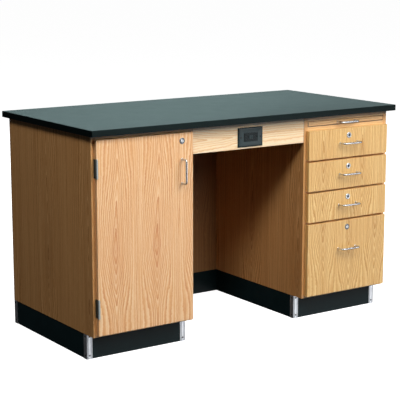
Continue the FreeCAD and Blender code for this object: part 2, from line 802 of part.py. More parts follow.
def make_door():
    """The door, bored for its lock and pull and let in for the hinge leaves."""
    half = "pull_centres / 2"
    pull_z = "door_top - door_pull_drop"
    bores = [(("door_lock_x", "door_lock_z"), "lock_radius"),
             (("door_lock_x", f"{pull_z} - {half}"), "pull_screw_radius"),
             (("door_lock_x", f"{pull_z} + {half}"), "pull_screw_radius")]
    board = upright_board("door_board", ("door_left", "fronts_low"), ("door_right", "door_top"),
                          "front_thick", "face_back", bores)
    recesses = []
    for level, z in HINGE_LEVELS:
        low = f"{z} - hinge_height / 2"
        high = f"{z} + hinge_height / 2"
        recesses.append(box(f"{level}_edge_recess",
                            ("door_left - overcut", "face_front - overcut", low),
                            ("door_left + hinge_steel", "face_back + overcut", high)))
        recesses.append(box(f"{level}_back_recess",
                            ("door_left - overcut", "face_back - hinge_steel", low),
                            ("door_left + door_leaf_width", "face_back + overcut", high)))
    keep(cut("door_panel", board, recesses), "door_panel")
    screws = make_pull_screws("door_pull_screw", "front_thick")
    handle = group("door_handle", [make_pull("door_wire")] + screws)
    pull = copy_of(handle, "door_pull", ("door_lock_x", "face_front", pull_z), ((0, 1, 0), 90))
    keep(pull, "door_pull")
    at = ("door_lock_x", "face_front", "door_lock_z")
    case = make_lock_case("door_lock_cylinder", "front_thick")
    keep(copy_of(case, "door_lock_case", at), "door_lock_case")
    keep(copy_of(make_lock_plug("door_lock_core"), "door_lock_plug", at), "door_lock_plug")


# ---------------------------------------------------------------- writing board

def make_writing_board():
    middle = "drawer_middle"
    play = "board_side_play"
    plank = box("board_plank", (f"right_bay_low + {play}", "carcass_front", "board_low"),
                (f"right_bay_high - {play}", "carcass_front + board_length", "board_top"))
    level = "(board_low + board_top) / 2"
    bores = []
    for side, sign in (("left", "-1"), ("right", "1")):
        start = (f"{middle} + {sign} * pull_centres / 2", "carcass_front", level)
        bores.append(rod(f"board_bore_{side}", start, "Y", "pull_stud", "pull_screw_radius"))
    stop_front = "rail_back + board_travel + runner_play"
    stop = box("board_stop", (f"{middle} - board_stop_width / 2", stop_front, "board_top"),
               (f"{middle} + board_stop_width / 2", f"{stop_front} + runner_width",
                "board_top + board_stop_height"))
    plank_bored = cut("board_bored", plank, bores)
    keep(group("writing_board", [plank_bored, stop]), "writing_board")
    handle = group("board_handle", [make_pull("board_wire")] + make_pull_studs("board_stud"))
    keep(copy_of(handle, "writing_board_pull", (middle, "carcass_front", level)),
         "writing_board_pull")
    runners = []
    for side, wall, way in (("left", "right_bay_low", "1"), ("right", "right_bay_high", "-1")):
        inner = f"{wall} + {way} * runner_width"
        runners.append(box(f"lower_runner_{side}", (wall, "rail_back", "board_rail_low"),
                           (inner, "rail_back + board_length", "board_low - runner_play")))
        runners.append(box(f"upper_runner_{side}", (wall, "rail_back", "board_top + runner_play"),
                           (inner, "rail_back + board_length", "carcass_top")))
    keep(group("writing_board_runners", runners), "writing_board_runners")


# ---------------------------------------------------------------- drawers

SMALL = ("small_front", "small_box_height", "slide_lift")
FILE = ("file_front_height", "file_box_height", "file_slide_lift")
DRAWERS = (
    ("drawer_1", "drawer_1_low", "rail_1_low + rail_thick", SMALL),
    ("drawer_2", "drawer_2_low", "rail_2_low + rail_thick", SMALL),
    ("drawer_3", "drawer_3_low", "rail_3_low + rail_thick", SMALL),
    ("file_drawer", "fronts_low", "floor_top", FILE),
)


def channel(name, web, lip, level, height):
    """A steel channel along Y: its web at one x, its two flanges reaching to another."""
    low = f"{level} - {height} / 2"
    high = f"{level} + {height} / 2"
    start = "carcass_front + slide_start"
    end = "carcass_front + slide_start + slide_length"
    way = f"(({lip}) - ({web})) / abs(({lip}) - ({web}))"
    pieces = [box(name + "_web", (web, start, low), (f"{web} + {way} * slide_steel", end, high)),
              box(name + "_base", (web, start, low), (lip, end, f"{low} + slide_steel")),
              box(name + "_cap", (web, start, f"{high} - slide_steel"), (lip, end, high))]
    return fuse(name, pieces)


def slide_pair(name, web_out, lip_out, level, height):
    """The same channel on both sides of a drawer, measured out from the side of its box."""
    left = channel(name + "_left", f"box_left - ({web_out})", f"box_left - ({lip_out})",
                   level, height)
    right = channel(name + "_right", f"box_right + ({web_out})", f"box_right + ({lip_out})",
                    level, height)
    return [left, right]


def make_drawer_box(name, base, height):
    """Two sides, a sub-front, a back and a bottom, butted together."""
    top = f"{base} + {height}"
    rear = "face_back + box_depth"
    inner_left = "box_left + box_thick"
    inner_right = "box_right - box_thick"
    sides = [box(name + "_left_side", ("box_left", "face_back", base), (inner_left, rear, top)),
             box(name + "_right_side", (inner_right, "face_back", base),
                 ("box_right", rear, top))]
    back = box(name + "_rear", (inner_left, f"{rear} - box_thick", base),
               (inner_right, rear, top))
    bottom = box(name + "_bottom",
                 (inner_left, "face_back + box_thick", f"{base} + box_bottom_lift"),
                 (inner_right, f"{rear} - box_thick",
                  f"{base} + box_bottom_lift + box_bottom_thick"))
    return sides + [back, bottom]


def make_drawer(name, low, opening_low, kind):
    front_height, box_height, slide_lift = kind
    top = f"{low} + {front_height}"
    lock_z = f"{top} - lock_drop"
    pull_z = f"{top} - file_pull_drop" if name == "file_drawer" else f"{low} + small_front / 2"
    base = f"{opening_low} + box_lift"
    feet = [("drawer_middle - pull_centres / 2", pull_z),
            ("drawer_middle + pull_centres / 2", pull_z)]
    bores = [(("drawer_middle", lock_z), "lock_radius")]
    bores += [(foot, "pull_screw_radius") for foot in feet]
    front = upright_board(name + "_face", ("drawer_left", low), ("drawer_right", top),
                          "front_thick", "face_back", bores)
    keep(front, name + "_front")
    sub_front = upright_board(name + "_sub_front", ("box_left + box_thick", base),
                              ("box_right - box_thick", f"{base} + {box_height}"),
                              "box_thick", "face_back + box_thick", bores)
    boards = make_drawer_box(name + "_case", base, box_height)
    keep(group(name + "_box", [sub_front] + boards), name + "_box")
    screws = make_pull_screws(name + "_screw", "lock_grip")
    handle = group(name + "_handle", [make_pull(name + "_wire")] + screws)
    keep(copy_of(handle, name + "_pull", ("drawer_middle", "face_front", pull_z)),
         name + "_pull")
    at = ("drawer_middle", "face_front", lock_z)
    case = make_lock_case(name + "_cylinder", "lock_grip")
    keep(copy_of(case, name + "_lock_case", at), name + "_lock_case")
    keep(copy_of(make_lock_plug(name + "_core"), name + "_lock_plug", at), name + "_lock_plug")
    level = f"{base} + {slide_lift}"
    cabinet = slide_pair(name + "_cabinet", "slide_gap", "slide_gap - slide_flange", level,
                         "slide_height")
    if name == "file_drawer":
        middle = slide_pair(name + "_middle", "slide_gap - 2 * slide_steel",
                            "slide_clearance", level, "middle_slide_height")
        keep(group("file_slide_middle", middle), "file_slide_middle")
        inner_height = "file_inner_height"
    else:
        inner_height = "inner_slide_height"
    inner = slide_pair(name + "_inner", "0", "slide_flange - slide_clearance", level,
                       inner_height)
    keep(group(name + "_slide", inner), name + "_slide")
    return cabinet


def make_drawers():
    cabinet = []
    for name, low, opening_low, kind in DRAWERS:
        cabinet += make_drawer(name, low, opening_low, kind)
    keep(group("slide_cabinet_members", cabinet), "slide_cabinet_members")


# ---------------------------------------------------------------- power outlet

def screw_holes(name, depth_low, depth, radius):
    holes = []
    for side, sign in (("left", "-1"), ("right", "1")):
        start = (f"{sign} * plate_screws / 2", depth_low, "plate_level")
        holes.append(rod(f"{name}_{side}", start, "Y", depth, radius))
    return holes


def centred_box(name, width, height, low, high, x="0"):
    """A box about the outlet's middle line, between two depths."""
    return box(name, (f"{x} - ({width}) / 2", low, f"plate_level - ({height}) / 2"),
               (f"{x} + ({width}) / 2", high, f"plate_level + ({height}) / 2"))


def make_outlet_plate():
    body = doc.addObject("PartDesign::Body", "plate_body")
    sketch = sketch_on(body, "XZ_Plane", "plate_outline")
    rectangle(sketch, ("-plate_width / 2", "plate_level - plate_height / 2"),
              ("plate_width / 2", "plate_level + plate_height / 2"))
    slab = pad(body, sketch, "plate_thick", "plate_slab")
    doc.recompute()
    front_edges = []
    for number, edge in enumerate(slab.Shape.Edges, start=1):
        if edge.BoundBox.YMax < slab.Shape.BoundBox.YMin + FLAT:
            front_edges.append(f"Edge{number}")
    bevel = body.newObject("PartDesign::Chamfer", "plate_bevels")
    bevel.Base = (slab, front_edges)
    bind(bevel, "Size", "plate_bevel")
    body.Tip = bevel
    bind(body, "Placement.Base.y", "carcass_front")
    window = centred_box("plate_window", "device_width + 2 * device_gap",
                         "device_height + 2 * device_gap",
                         "carcass_front - plate_thick - overcut", "carcass_front + overcut")
    recess = centred_box("plate_recess", "strap_width + 2 * strap_play",
                         "strap_height + 2 * strap_play", "carcass_front - strap_thick",
                         "carcass_front + overcut")
    holes = screw_holes("plate_hole", "carcass_front - plate_thick - overcut",
                        "plate_thick + 2 * overcut", "screw_shank_radius")
    keep(cut("outlet_plate", body, [window, recess] + holes), "outlet_plate")


def make_receptacle():
    """The duplex device: two three-slot outlets on either side of its two buttons."""
    face = "carcass_front - plate_thick - device_proud"
    device = centred_box("device_block", "device_width", "device_height", face,
                         "carcass_front + device_depth")
    strap = centred_box("device_strap", "strap_width", "strap_height",
                        "carcass_front - strap_thick", "carcass_front")
    cuts = screw_holes("strap_hole", "carcass_front - strap_thick - overcut",
                       "strap_thick + 2 * overcut", "screw_shank_radius")
    deep = f"{face} + socket_depth"
    for side, way in (("left", "-1"), ("right", "1")):
        middle = f"({way}) * outlet_reach"
        for blade, lift, length in (("long", "1", "long_blade"), ("short", "-1", "short_blade")):
            z = f"plate_level + ({lift}) * blade_spread"
            cuts.append(box(f"{side}_{blade}_slot",
                            (f"{middle} - blade_offset - {length} / 2", f"{face} - overcut",
                             f"{z} - blade_width / 2"),
                            (f"{middle} - blade_offset + {length} / 2", deep,
                             f"{z} + blade_width / 2")))
        cuts.append(rod(f"{side}_ground", (f"{middle} + ground_offset", f"{face} - overcut",
                                           "plate_level"), "Y", "socket_depth + overcut",
                        "ground_radius"))
        cuts.append(centred_box(f"{side}_button_well", "button_width + 2 * button_play",
                                "button_height + 2 * button_play", f"{face} - overcut",
                                f"{face} + button_length + button_travel + button_bottom",
                                f"({way}) * button_spread"))
    solid = fuse("device_solid", [device, strap])
    keep(cut("outlet_receptacle", solid, cuts), "outlet_receptacle")
    for label, way in (("outlet_test_button", "-1"), ("outlet_reset_button", "1")):
        button = centred_box(label, "button_width", "button_height", f"{face} - button_proud",
                             f"{face} + button_length", f"({way}) * button_spread")
        keep(button, label)


def make_outlet():
    make_outlet_plate()
    make_receptacle()
    behind = "carcass_front + panel_thick"
    shell = centred_box("box_shell", "outlet_box_width", "outlet_box_height", behind,
                        f"{behind} + outlet_box_depth")
    hollow = centred_box("box_hollow", "outlet_box_width - 2 * outlet_box_wall",
                         "outlet_box_height - 2 * outlet_box_wall", f"{behind} - overcut",
                         f"{behind} + outlet_box_depth - outlet_box_wall")
    keep(cut("outlet_box", shell, [hollow]), "outlet_box")
    head_low = "carcass_front - plate_thick - screw_head_thick"
    heads = screw_holes("outlet_screw_head", head_low, "screw_head_thick", "screw_head_radius")
    shanks = screw_holes("outlet_screw_shank", "carcass_front - plate_thick", "plate_thick",
                         "screw_shank_radius")
    screws = [fuse(f"outlet_screw_{number}", list(pair))
              for number, pair in enumerate(zip(heads, shanks))]
    keep(group("outlet_screws", screws), "outlet_screws")


# ---------------------------------------------------------------- build, check and write

def check_and_write():
    doc.recompute()
    for item in doc.Objects:
        if "Invalid" in item.State or "Error" in item.State:
            raise RuntimeError(f"{item.Name} failed: {item.State}")
    os.makedirs("parts", exist_ok=True)
    whole = FreeCAD.BoundBox()
    for item in sub_parts:
        shape = item.Shape
        if shape.isNull() or not shape.isValid() or not shape.Solids:
            raise RuntimeError(f"{item.Label} has no valid solid")
        shape.exportStep(f"parts/{item.Label}.step")
        whole.add(shape.BoundBox)
        print(f"{item.Label:26s} solids {len(shape.Solids):3d}  cm3 {shape.Volume / 1000:10.2f}")
    print(f"{len(sub_parts)} sub-parts")
    print(f"x {whole.XMin:.2f} {whole.XMax:.2f}  y {whole.YMin:.2f} {whole.YMax:.2f}"
          f"  z {whole.ZMin:.2f} {whole.ZMax:.2f}")


fill_sheet()
make_worktop()
make_left_pedestal()
make_right_pedestal()
make_knee_space()
make_plinth()
make_hinges()
make_door()
make_writing_board()
make_drawers()
make_outlet()
check_and_write()
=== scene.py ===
import json
import math

import bmesh
import bpy
from mathutils import Matrix, Vector


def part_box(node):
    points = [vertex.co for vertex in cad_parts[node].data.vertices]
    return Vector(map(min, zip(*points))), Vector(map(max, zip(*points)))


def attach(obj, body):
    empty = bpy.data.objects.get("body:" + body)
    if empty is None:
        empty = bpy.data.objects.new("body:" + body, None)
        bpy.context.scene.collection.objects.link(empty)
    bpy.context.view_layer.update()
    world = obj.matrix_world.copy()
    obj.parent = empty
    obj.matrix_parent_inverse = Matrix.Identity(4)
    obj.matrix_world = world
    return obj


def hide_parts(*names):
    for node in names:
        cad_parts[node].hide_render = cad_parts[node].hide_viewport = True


# The looks of the instructor's desk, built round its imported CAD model: +Z up, +X to the right of
# a person who faces the fronts. Shaders, lights and camera are in metres, the sizes of meshes in
# millimetres. Meshes are made in the row frame, so that a texture's object coordinates are the
# same places on every piece.

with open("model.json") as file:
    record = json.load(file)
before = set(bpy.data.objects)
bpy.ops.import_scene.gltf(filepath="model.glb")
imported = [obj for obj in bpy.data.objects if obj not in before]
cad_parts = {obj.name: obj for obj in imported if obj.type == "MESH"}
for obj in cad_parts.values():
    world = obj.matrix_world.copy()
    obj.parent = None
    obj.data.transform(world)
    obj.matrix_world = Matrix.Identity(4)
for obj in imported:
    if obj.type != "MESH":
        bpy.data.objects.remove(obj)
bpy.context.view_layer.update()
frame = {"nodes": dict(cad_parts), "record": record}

MM = 0.001
node_slots = {part["node"]: part["material_slot"] for part in frame["record"]["subparts"]}


def extent(node):
    """The lowest and the highest corner of a CAD node, in millimetres."""
    return [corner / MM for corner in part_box(node)]


# ---------------------------------------------------------------- colours and shader nodes

def tone(red, green, blue):
    """A colour given from 0 to 255 as it shows on a screen, in the shaders' linear values."""
    shares = [value / 255 for value in (red, green, blue)]
    curve = [share / 12.92 if share <= 0.04045 else ((share + 0.055) / 1.055) ** 2.4
             for share in shares]
    return (*curve, 1.0)


class Recipe:
    """A material and short calls that add nodes to it."""

    def __init__(self, name):
        self.material = bpy.data.materials.new(name)
        self.material.use_nodes = True
        self.tree = self.material.node_tree
        self.shader = self.tree.nodes["Principled BSDF"]

    def node(self, kind, inputs=None, output=0, **settings):
        made = self.tree.nodes.new("ShaderNode" + kind)
        for key, value in settings.items():
            setattr(made, key, value)
        for key, value in (inputs or {}).items():
            self.feed(made.inputs[key], value)
        return made.outputs[output]

    def feed(self, socket, value):
        if isinstance(value, bpy.types.NodeSocket):
            self.tree.links.new(value, socket)
        else:
            socket.default_value = value

    def calc(self, operation, first, second=0.0, third=0.0):
        return self.node("Math", {0: first, 1: second, 2: third}, operation=operation)

    def ramp(self, factor, stops):
        made = self.tree.nodes.new("ShaderNodeValToRGB")
        self.tree.links.new(factor, made.inputs[0])
        points = made.color_ramp.elements
        while len(points) < len(stops):
            points.new(0.5)
        for point, (place, colour) in zip(points, stops):
            point.position = place
            point.color = colour
        return made.outputs[0]

    def mix(self, factor, first, second):
        made = self.tree.nodes.new("ShaderNodeMix")
        made.data_type = "RGBA"
        for index, value in ((0, factor), (6, first), (7, second)):
            self.feed(made.inputs[index], value)
        return made.outputs[2]

    def place(self):
        """The piece's own coordinates, which are the row frame's at rest."""
        return self.node("TexCoord", output=3)

    def split(self, vector):
        made = self.tree.nodes.new("ShaderNodeSeparateXYZ")
        self.tree.links.new(vector, made.inputs[0])
        return made.outputs

    def join(self, across, deep, along):
        return self.node("CombineXYZ", {0: across, 1: deep, 2: along})

    def noise(self, vector, scale, detail=2.0, rough=0.5):
        return self.node("TexNoise", {"Vector": vector, "Scale": scale, "Detail": detail,
                                      "Roughness": rough})

    def drawn_noise(self, places, pace, detail=3.0, rough=0.6):
        """Noise drawn out along the grain. Places are across the grain, into the board and along
        the grain; pace is how often the noise changes in a metre of each."""
        return self.noise(self.join(*[self.calc("MULTIPLY", place, times)
                                      for place, times in zip(places, pace)]), 1.0, detail, rough)

    def span(self, value, low, high, to_low=0.0, to_high=1.0):
        return self.node("MapRange", {"Value": value, "From Min": low, "From Max": high,
                                      "To Min": to_low, "To Max": to_high})

    def swing(self, noise, to_low, to_high, reach=0.2):
        """A noise, which stays within reach of its middle, as values between two others."""
        return self.span(noise, 0.5 - reach, 0.5 + reach, to_low, to_high)

    def cloudy(self, noise, low, high):
        """A colour that drifts with a noise between two others."""
        return self.ramp(noise, [(0.3, low), (0.7, high)])

    def bump(self, height, distance, strength=1.0):
        normal = self.node("Bump", {"Height": height, "Distance": distance,
                                    "Strength": strength})
        self.tree.links.new(normal, self.shader.inputs["Normal"])

    def set(self, **values):
        """Values for the shader's own sockets, with _ for a space in the socket's name."""
        for key, value in values.items():
            self.feed(self.shader.inputs[key.replace("_", " ")], value)


# ---------------------------------------------------------------- wood

PORE = tone(146, 92, 50)
# Colour of the painted shade at a board's ends, where the gap beside it is in shadow.
GAP_SHADE = tone(112, 50, 28)
LEAF = 0.19         # width of one leaf of veneer
LEAF_SHIFT = 3.5    # how far apart the noise of two leaves can be
RING = 0.0058       # mean distance between two growth rings
TAPER = 0.14        # how fast the rings sink below the eye of a leaf, per metre
UPPER_TAPER = 0.45  # how much slower they sink above it
DEEPEST = 0.24      # distance from the eye at which they stop sinking
FLANK = 0.8         # how steeply the rings stand on either side of a flame
TIP = 0.005         # how blunt the tip of a flame is
FLAME_CORE = 0.015  # half the width of a flame's steepest part
FLAME_HALF = 0.095  # half the width of a flame, beside which the grain runs straight
FOLD = 0.02         # depth at which the pattern turns back, which keeps it in a thin board
WANDER = 0.012      # how far a flame's middle strays to a side
WOBBLE = 0.0019     # how far a ring strays in a slow wave
JAG = 0.0009        # how far it strays in its fine teeth
WANDER_PACE = 1.7
WOBBLE_PACE = (32.0, 1.0, 7.0)
JAG_PACE = (90.0, 1.0, 75.0)
FIBRE_PACE = (900.0, 900.0, 22.0)
STREAK_PACE = (210.0, 210.0, 1.6)
YEAR_RISE = 1.7     # how late in a year's ring its dark line builds up
YEAR_END = 0.82     # share of the year at which it fades again
VIGOUR = (0.45, 1.0)            # how strong the lines of weak and of good years are
STREAK_DEPTH = (-0.04, 0.26)    # how much the streaks add to the depth of colour
TONE_STOPS = (0.06, 0.42, 1.0)  # the depth of colour at which each of three tones stands
PORE_OPENS = (0.38, 0.31)       # the fibre noise between which a pore opens
PORE_SHOWS = (0.08, 0.32)       # how much it shows in pale and in dark wood
HEART_HALF = (0.004, 0.034)     # the darker heart of a flame, across the grain
HEART_REACH = (0.02, 0.2)       # and along it
HEART_DARK = 0.34
CLOUD_SCALE = 3.1
CLOUD_EVEN = 0.25               # how much the clouds even out the grain
OAK_ROUGH = (0.52, 0.4)
OAK_RELIEF = 0.00025
LIPPING_BACK = (extent("left_outer_side")[0].y + 2.0) * MM
GAP_SHADE_FULL = 0.0008  # width of the darkest part of the painted shade at a board's edge
GAP_SHADE_WIDTH = 0.0034


def axes_of(made, axes):
    """The coordinates across the grain, into the board and along the grain."""
    parts = made.split(made.place())
    return [parts["XYZ".index(letter)] for letter in axes]


def painted_gap_shade(made, node, letters):
    """Painted shade for the gap beside a CAD node: how close a spot is to the node's edges along
    the axes in letters, 1 at the edge and 0 from a few millimetres inside it."""
    low, high = [corner * MM for corner in extent(node)]
    parts = made.split(made.place())
    inside = 1.0
    for index in ["XYZ".index(letter) for letter in letters]:
        inside = made.calc("MINIMUM", inside, made.calc("SUBTRACT", parts[index], low[index]))
        inside = made.calc("MINIMUM", inside, made.calc("SUBTRACT", high[index], parts[index]))
    return made.span(inside, GAP_SHADE_FULL, GAP_SHADE_WIDTH, 1.0, 0.0)


def growth_rings(made, places, seed, eye, leaf, spread):
    """The count of rings from the log's middle, and how far a spot is from the eye of its leaf
    of veneer, across the grain and along it."""
    across, deep, along = places
    leaves = made.calc("ADD", made.calc("DIVIDE", across, leaf), seed)
    own = made.node("TexWhiteNoise", {"W": made.calc("FLOOR", leaves)}, noise_dimensions="1D")
    layer = made.calc("MULTIPLY_ADD", own, LEAF_SHIFT, seed)
    local = made.calc("MULTIPLY", made.calc("SUBTRACT", made.calc("FRACT", leaves), 0.5), leaf)
    wander = made.noise(made.join(layer, 3.0, made.calc("MULTIPLY", along, WANDER_PACE)), 1.0, 1.0)
    side = made.calc("ADD", local, made.swing(wander, -WANDER, WANDER, 0.3))
    off = made.calc("SQRT", made.calc("MULTIPLY_ADD", side, side, TIP * TIP))
    away = made.calc("SUBTRACT", along, made.span(own, 0.0, 1.0, eye - spread, eye + spread))
    fall = made.calc("MAXIMUM", made.calc("MULTIPLY", away, -1.0),
                     made.calc("MULTIPLY", away, UPPER_TAPER))
    fall = made.calc("SMOOTH_MIN", fall, DEEPEST, 0.1)
    flame = made.node("MapRange", {"Value": off, "From Min": FLAME_CORE, "From Max": FLAME_HALF,
                                   "To Min": TAPER, "To Max": 0.0},
                      interpolation_type="SMOOTHSTEP")
    below = made.calc("MULTIPLY_ADD", fall, flame, made.calc("PINGPONG", deep, FOLD))
    radius = made.calc("MULTIPLY_ADD", off, FLANK, below)
    own_places = (across, layer, along)
    wobble = made.drawn_noise(own_places, WOBBLE_PACE, 3.0, 0.55)
    jag = made.drawn_noise(own_places, JAG_PACE, 2.0)
    radius = made.calc("ADD", radius, made.swing(wobble, -WOBBLE, WOBBLE, 0.3))
    radius = made.calc("ADD", radius, made.swing(jag, -JAG, JAG, 0.3))
    return made.calc("DIVIDE", radius, RING), off, away


def oak(name, axes, tones, seed, eye=0.5, leaf=LEAF, spread=0.14, coat=0.12, lipping=None,
        gap_shade=None):
    """Flat-sliced red oak. Each leaf of veneer is cut beside the middle of its log, which comes
    nearest to the face at the leaf's eye, so that the rings draw long nested flames there.
    Lipping is the tones of the strip of solid oak on the board's front edge. Gap shade is the node
    and the axes at whose ends a dark line of painted shade stands for the shadow in the gap beside
    it."""
    middle, dark = tones[1:]
    made = Recipe(name)
    places = axes_of(made, axes)
    rings, off, away = growth_rings(made, places, seed, eye, leaf, spread)
    year = made.calc("FRACT", rings)
    line = made.calc("MULTIPLY", made.calc("POWER", year, YEAR_RISE),
                     made.span(year, YEAR_END, 1.0, 1.0, 0.0))
    vigour = made.node("TexWhiteNoise", {"W": made.calc("FLOOR", rings)}, noise_dimensions="1D")
    band = made.calc("MULTIPLY", line, made.span(vigour, 0.0, 1.0, *VIGOUR))
    fibre = made.drawn_noise(places, FIBRE_PACE)
    streak = made.drawn_noise(places, STREAK_PACE, 2.0)
    pores = made.span(fibre, *PORE_OPENS)
    depth = made.calc("MULTIPLY_ADD", band, 1.1, made.swing(streak, *STREAK_DEPTH))
    colour = made.ramp(depth, list(zip(TONE_STOPS, tones)))
    colour = made.mix(made.swing(fibre, 0.22, 0.0), colour, dark)
    heart = made.calc("MULTIPLY", made.span(off, *HEART_HALF, 1.0, 0.0),
                      made.span(made.calc("ABSOLUTE", away), *HEART_REACH, HEART_DARK, 0.0))
    colour = made.mix(heart, colour, dark)
    colour = made.mix(made.calc("MULTIPLY", pores, made.span(band, 0.0, 0.6, *PORE_SHOWS)),
                      colour, PORE)
    cloud = made.noise(made.place(), CLOUD_SCALE)
    colour = made.mix(made.swing(cloud, 0.0, CLOUD_EVEN), colour, middle)
    if lipping:
        strip = made.ramp(depth, list(zip(TONE_STOPS, lipping)))
        from_front = made.split(made.place())[1]
        colour = made.mix(made.calc("LESS_THAN", from_front, LIPPING_BACK), colour, strip)
    # Painted shade: a dark line at the board's ends for the shadow in the gap beside it.
    if gap_shade:
        colour = made.mix(painted_gap_shade(made, *gap_shade), colour, GAP_SHADE)
    made.set(Base_Color=colour, Roughness=made.swing(fibre, *OAK_ROUGH, 0.3))
    made.set(Coat_Weight=coat, Coat_Roughness=0.3)
    height = made.calc("SUBTRACT", made.calc("MULTIPLY", fibre, 0.5),
                       made.calc("MULTIPLY", pores, 0.6))
    made.bump(height, OAK_RELIEF, 0.5)
    return made.material


def birch(name, axes):
    """Pale drawer-side wood: fine straight fibres with faint flames."""
    made = Recipe(name)
    places = axes_of(made, axes)
    fibre = made.drawn_noise(places, (700.0, 700.0, 18.0))
    flame = made.drawn_noise(places, (34.0, 34.0, 2.4), rough=0.5)
    colour = made.ramp(flame, [(0.25, tone(236, 213, 176)), (0.55, tone(226, 197, 153)),
                               (0.8, tone(208, 172, 124))])
    colour = made.mix(made.swing(fibre, 0.2, 0.0), colour, tone(188, 148, 100))
    made.set(Base_Color=colour, Roughness=made.swing(fibre, 0.55, 0.42, 0.3))
    made.bump(fibre, 0.0002, 0.35)
    return made.material


# ---------------------------------------------------------------- resin, plastic and metal

def resin(name):
    """Black epoxy resin with a fine satin skin."""
    made = Recipe(name)
    skin = made.noise(made.place(), 900.0)
    cloud = made.noise(made.place(), 14.0, 4.0, 0.6)
    made.set(Base_Color=made.cloudy(cloud, tone(4, 11, 11), tone(7, 16, 17)),
             Roughness=made.swing(cloud, 0.47, 0.51, 0.3))
    made.set(Specular_IOR_Level=0.16, Specular_Tint=(0.7, 1.0, 1.0, 1.0))
    made.bump(made.calc("MULTIPLY_ADD", cloud, 0.4, skin), 0.0001, 0.35)
    return made.material


def vinyl(name, low, high, rough, gloss):
    """Matt moulded plastic with a leathery grain."""
    made = Recipe(name)
    grain = made.noise(made.place(), 1400.0, 3.0)
    cloud = made.noise(made.place(), 22.0, 3.0)
    made.set(Base_Color=made.cloudy(cloud, low, high),
             Roughness=made.swing(cloud, rough - 0.05, rough + 0.07, 0.3))
    made.set(Specular_IOR_Level=gloss)
    made.bump(grain, 0.00015, 0.4)
    return made.material


def metal(name, low, high, rough, brush=(1.0, 1.0, 1.0), scale=900.0, plated=1.0, barrel_highlight=None):
    """Metal with a brushed or cast skin: brush is how fine the marks are along each axis, and
    plated is how much of it shines as bare metal does. Barrel highlight is the X and Y of an
    upright axis, the radius round it within which a painted highlight lightens the colour, and the
    colour there."""
    made = Recipe(name)
    marks = made.node("Mapping", {"Vector": made.place(), "Scale": brush})
    grit = made.noise(marks, scale, 3.0, 0.6)
    colour = made.cloudy(made.noise(made.place(), 60.0), low, high)
    # Painted highlight: a lighter colour round an upright axis, for the light that a hinge's
    # barrel reflects.
    if barrel_highlight:
        axis_x, axis_y, radius, bright = barrel_highlight
        parts = made.split(made.place())
        off_x = made.calc("SUBTRACT", parts[0], axis_x)
        off_y = made.calc("SUBTRACT", parts[1], axis_y)
        off = made.calc("SQRT", made.calc("MULTIPLY_ADD", off_x, off_x,
                                          made.calc("MULTIPLY", off_y, off_y)))
        colour = made.mix(made.calc("LESS_THAN", off, radius), colour, bright)
    made.set(Base_Color=colour, Metallic=plated,
             Roughness=made.swing(grit, rough * 0.8, rough * 1.25, 0.25))
    made.bump(grit, 0.00005, 0.3)
    return made.material


DOOR_TONES = (tone(255, 222, 174), tone(236, 176, 114), tone(200, 114, 58))
DRAWER_TONES = (tone(253, 221, 152), tone(228, 175, 98), tone(182, 118, 46))
CASE_TONES = (tone(224, 172, 112), tone(210, 152, 92), tone(178, 120, 66))
APRON_TONES = (tone(255, 238, 204), tone(254, 218, 168), tone(220, 160, 98))
RAIL_TONES = (tone(255, 222, 164), tone(246, 196, 130), tone(208, 146, 80))
LIPPING_TONES = (tone(242, 190, 124), tone(228, 166, 100), tone(194, 128, 70))
SIDE_TONES = (tone(236, 184, 124), tone(206, 146, 84), tone(150, 96, 48))
# Painted shade: the knee panel's tones are darker than the other backs', for the shade deep in the
# knee space.
SHADED_KNEE_TONES = (tone(192, 142, 90), tone(170, 120, 72), tone(138, 92, 50))
PIN_PLACE = sum(extent("hinge_pins"), Vector()) / 2 * MM
# Radius round the pin within which the knuckles get a painted highlight.
HIGHLIGHT_RADIUS = 0.0052

DOOR_OAK = oak("oak_door", "XYZ", DOOR_TONES, 0.91, eye=0.46, spread=0.03)
DRAWER_OAK = oak("oak_drawers", "XYZ", DRAWER_TONES, 0.81, eye=0.66, leaf=0.222, spread=0.04)
FILE_OAK = oak("oak_file_front", "XYZ", DRAWER_TONES, 0.94, eye=0.4, leaf=0.148, spread=0.05)
SIDE_OAK = oak("oak_sides", "YXZ", SIDE_TONES, 5.4, eye=0.35, leaf=0.34, coat=0.05,
               lipping=LIPPING_TONES)
# The knee panel's oak, darkened as painted shade.
SHADED_KNEE_OAK = oak("oak_knee_panel_painted_shade", "XYZ", SHADED_KNEE_TONES, 2.6, coat=0.05)
BACK_OAK = oak("oak_backs", "XYZ", CASE_TONES, 3.1, coat=0.05)
SHELF_OAK = oak("oak_shelves", "YZX", CASE_TONES, 1.3, eye=0.0, lipping=LIPPING_TONES)
# The apron and the writing board take painted shade at their ends, for the shadow in the gaps
# beside them.
APRON_OAK = oak("oak_apron", "ZYX", APRON_TONES, 0.7, eye=-0.6, leaf=0.3, spread=0.02,
                gap_shade=("apron", "X"))
RAIL_OAK = oak("oak_rails", "ZYX", RAIL_TONES, 4.2, eye=0.5, leaf=0.3)
WRITING_OAK = oak("oak_writing_board", "ZYX", RAIL_TONES, 4.2, eye=0.5, leaf=0.3,
                  gap_shade=("writing_board", "XZ"))
RUNNER_OAK = oak("oak_runners", "XZY", RAIL_TONES, 6.6, eye=0.0, leaf=0.3)
BOX_WOOD = birch("birch_box", "XZY")
RESIN = resin("black_resin")
PLINTH = vinyl("plinth_vinyl", tone(10, 29, 32), tone(18, 36, 39), 0.5, 0.18)
OUTLET = vinyl("outlet_plastic", tone(14, 38, 42), tone(24, 47, 51), 0.32, 0.42)
SOCKET = vinyl("socket_plastic", tone(7, 19, 22), tone(12, 27, 30), 0.3, 0.2)
CHROME = metal("chrome_wire", tone(198, 204, 212), tone(214, 219, 226), 0.26)
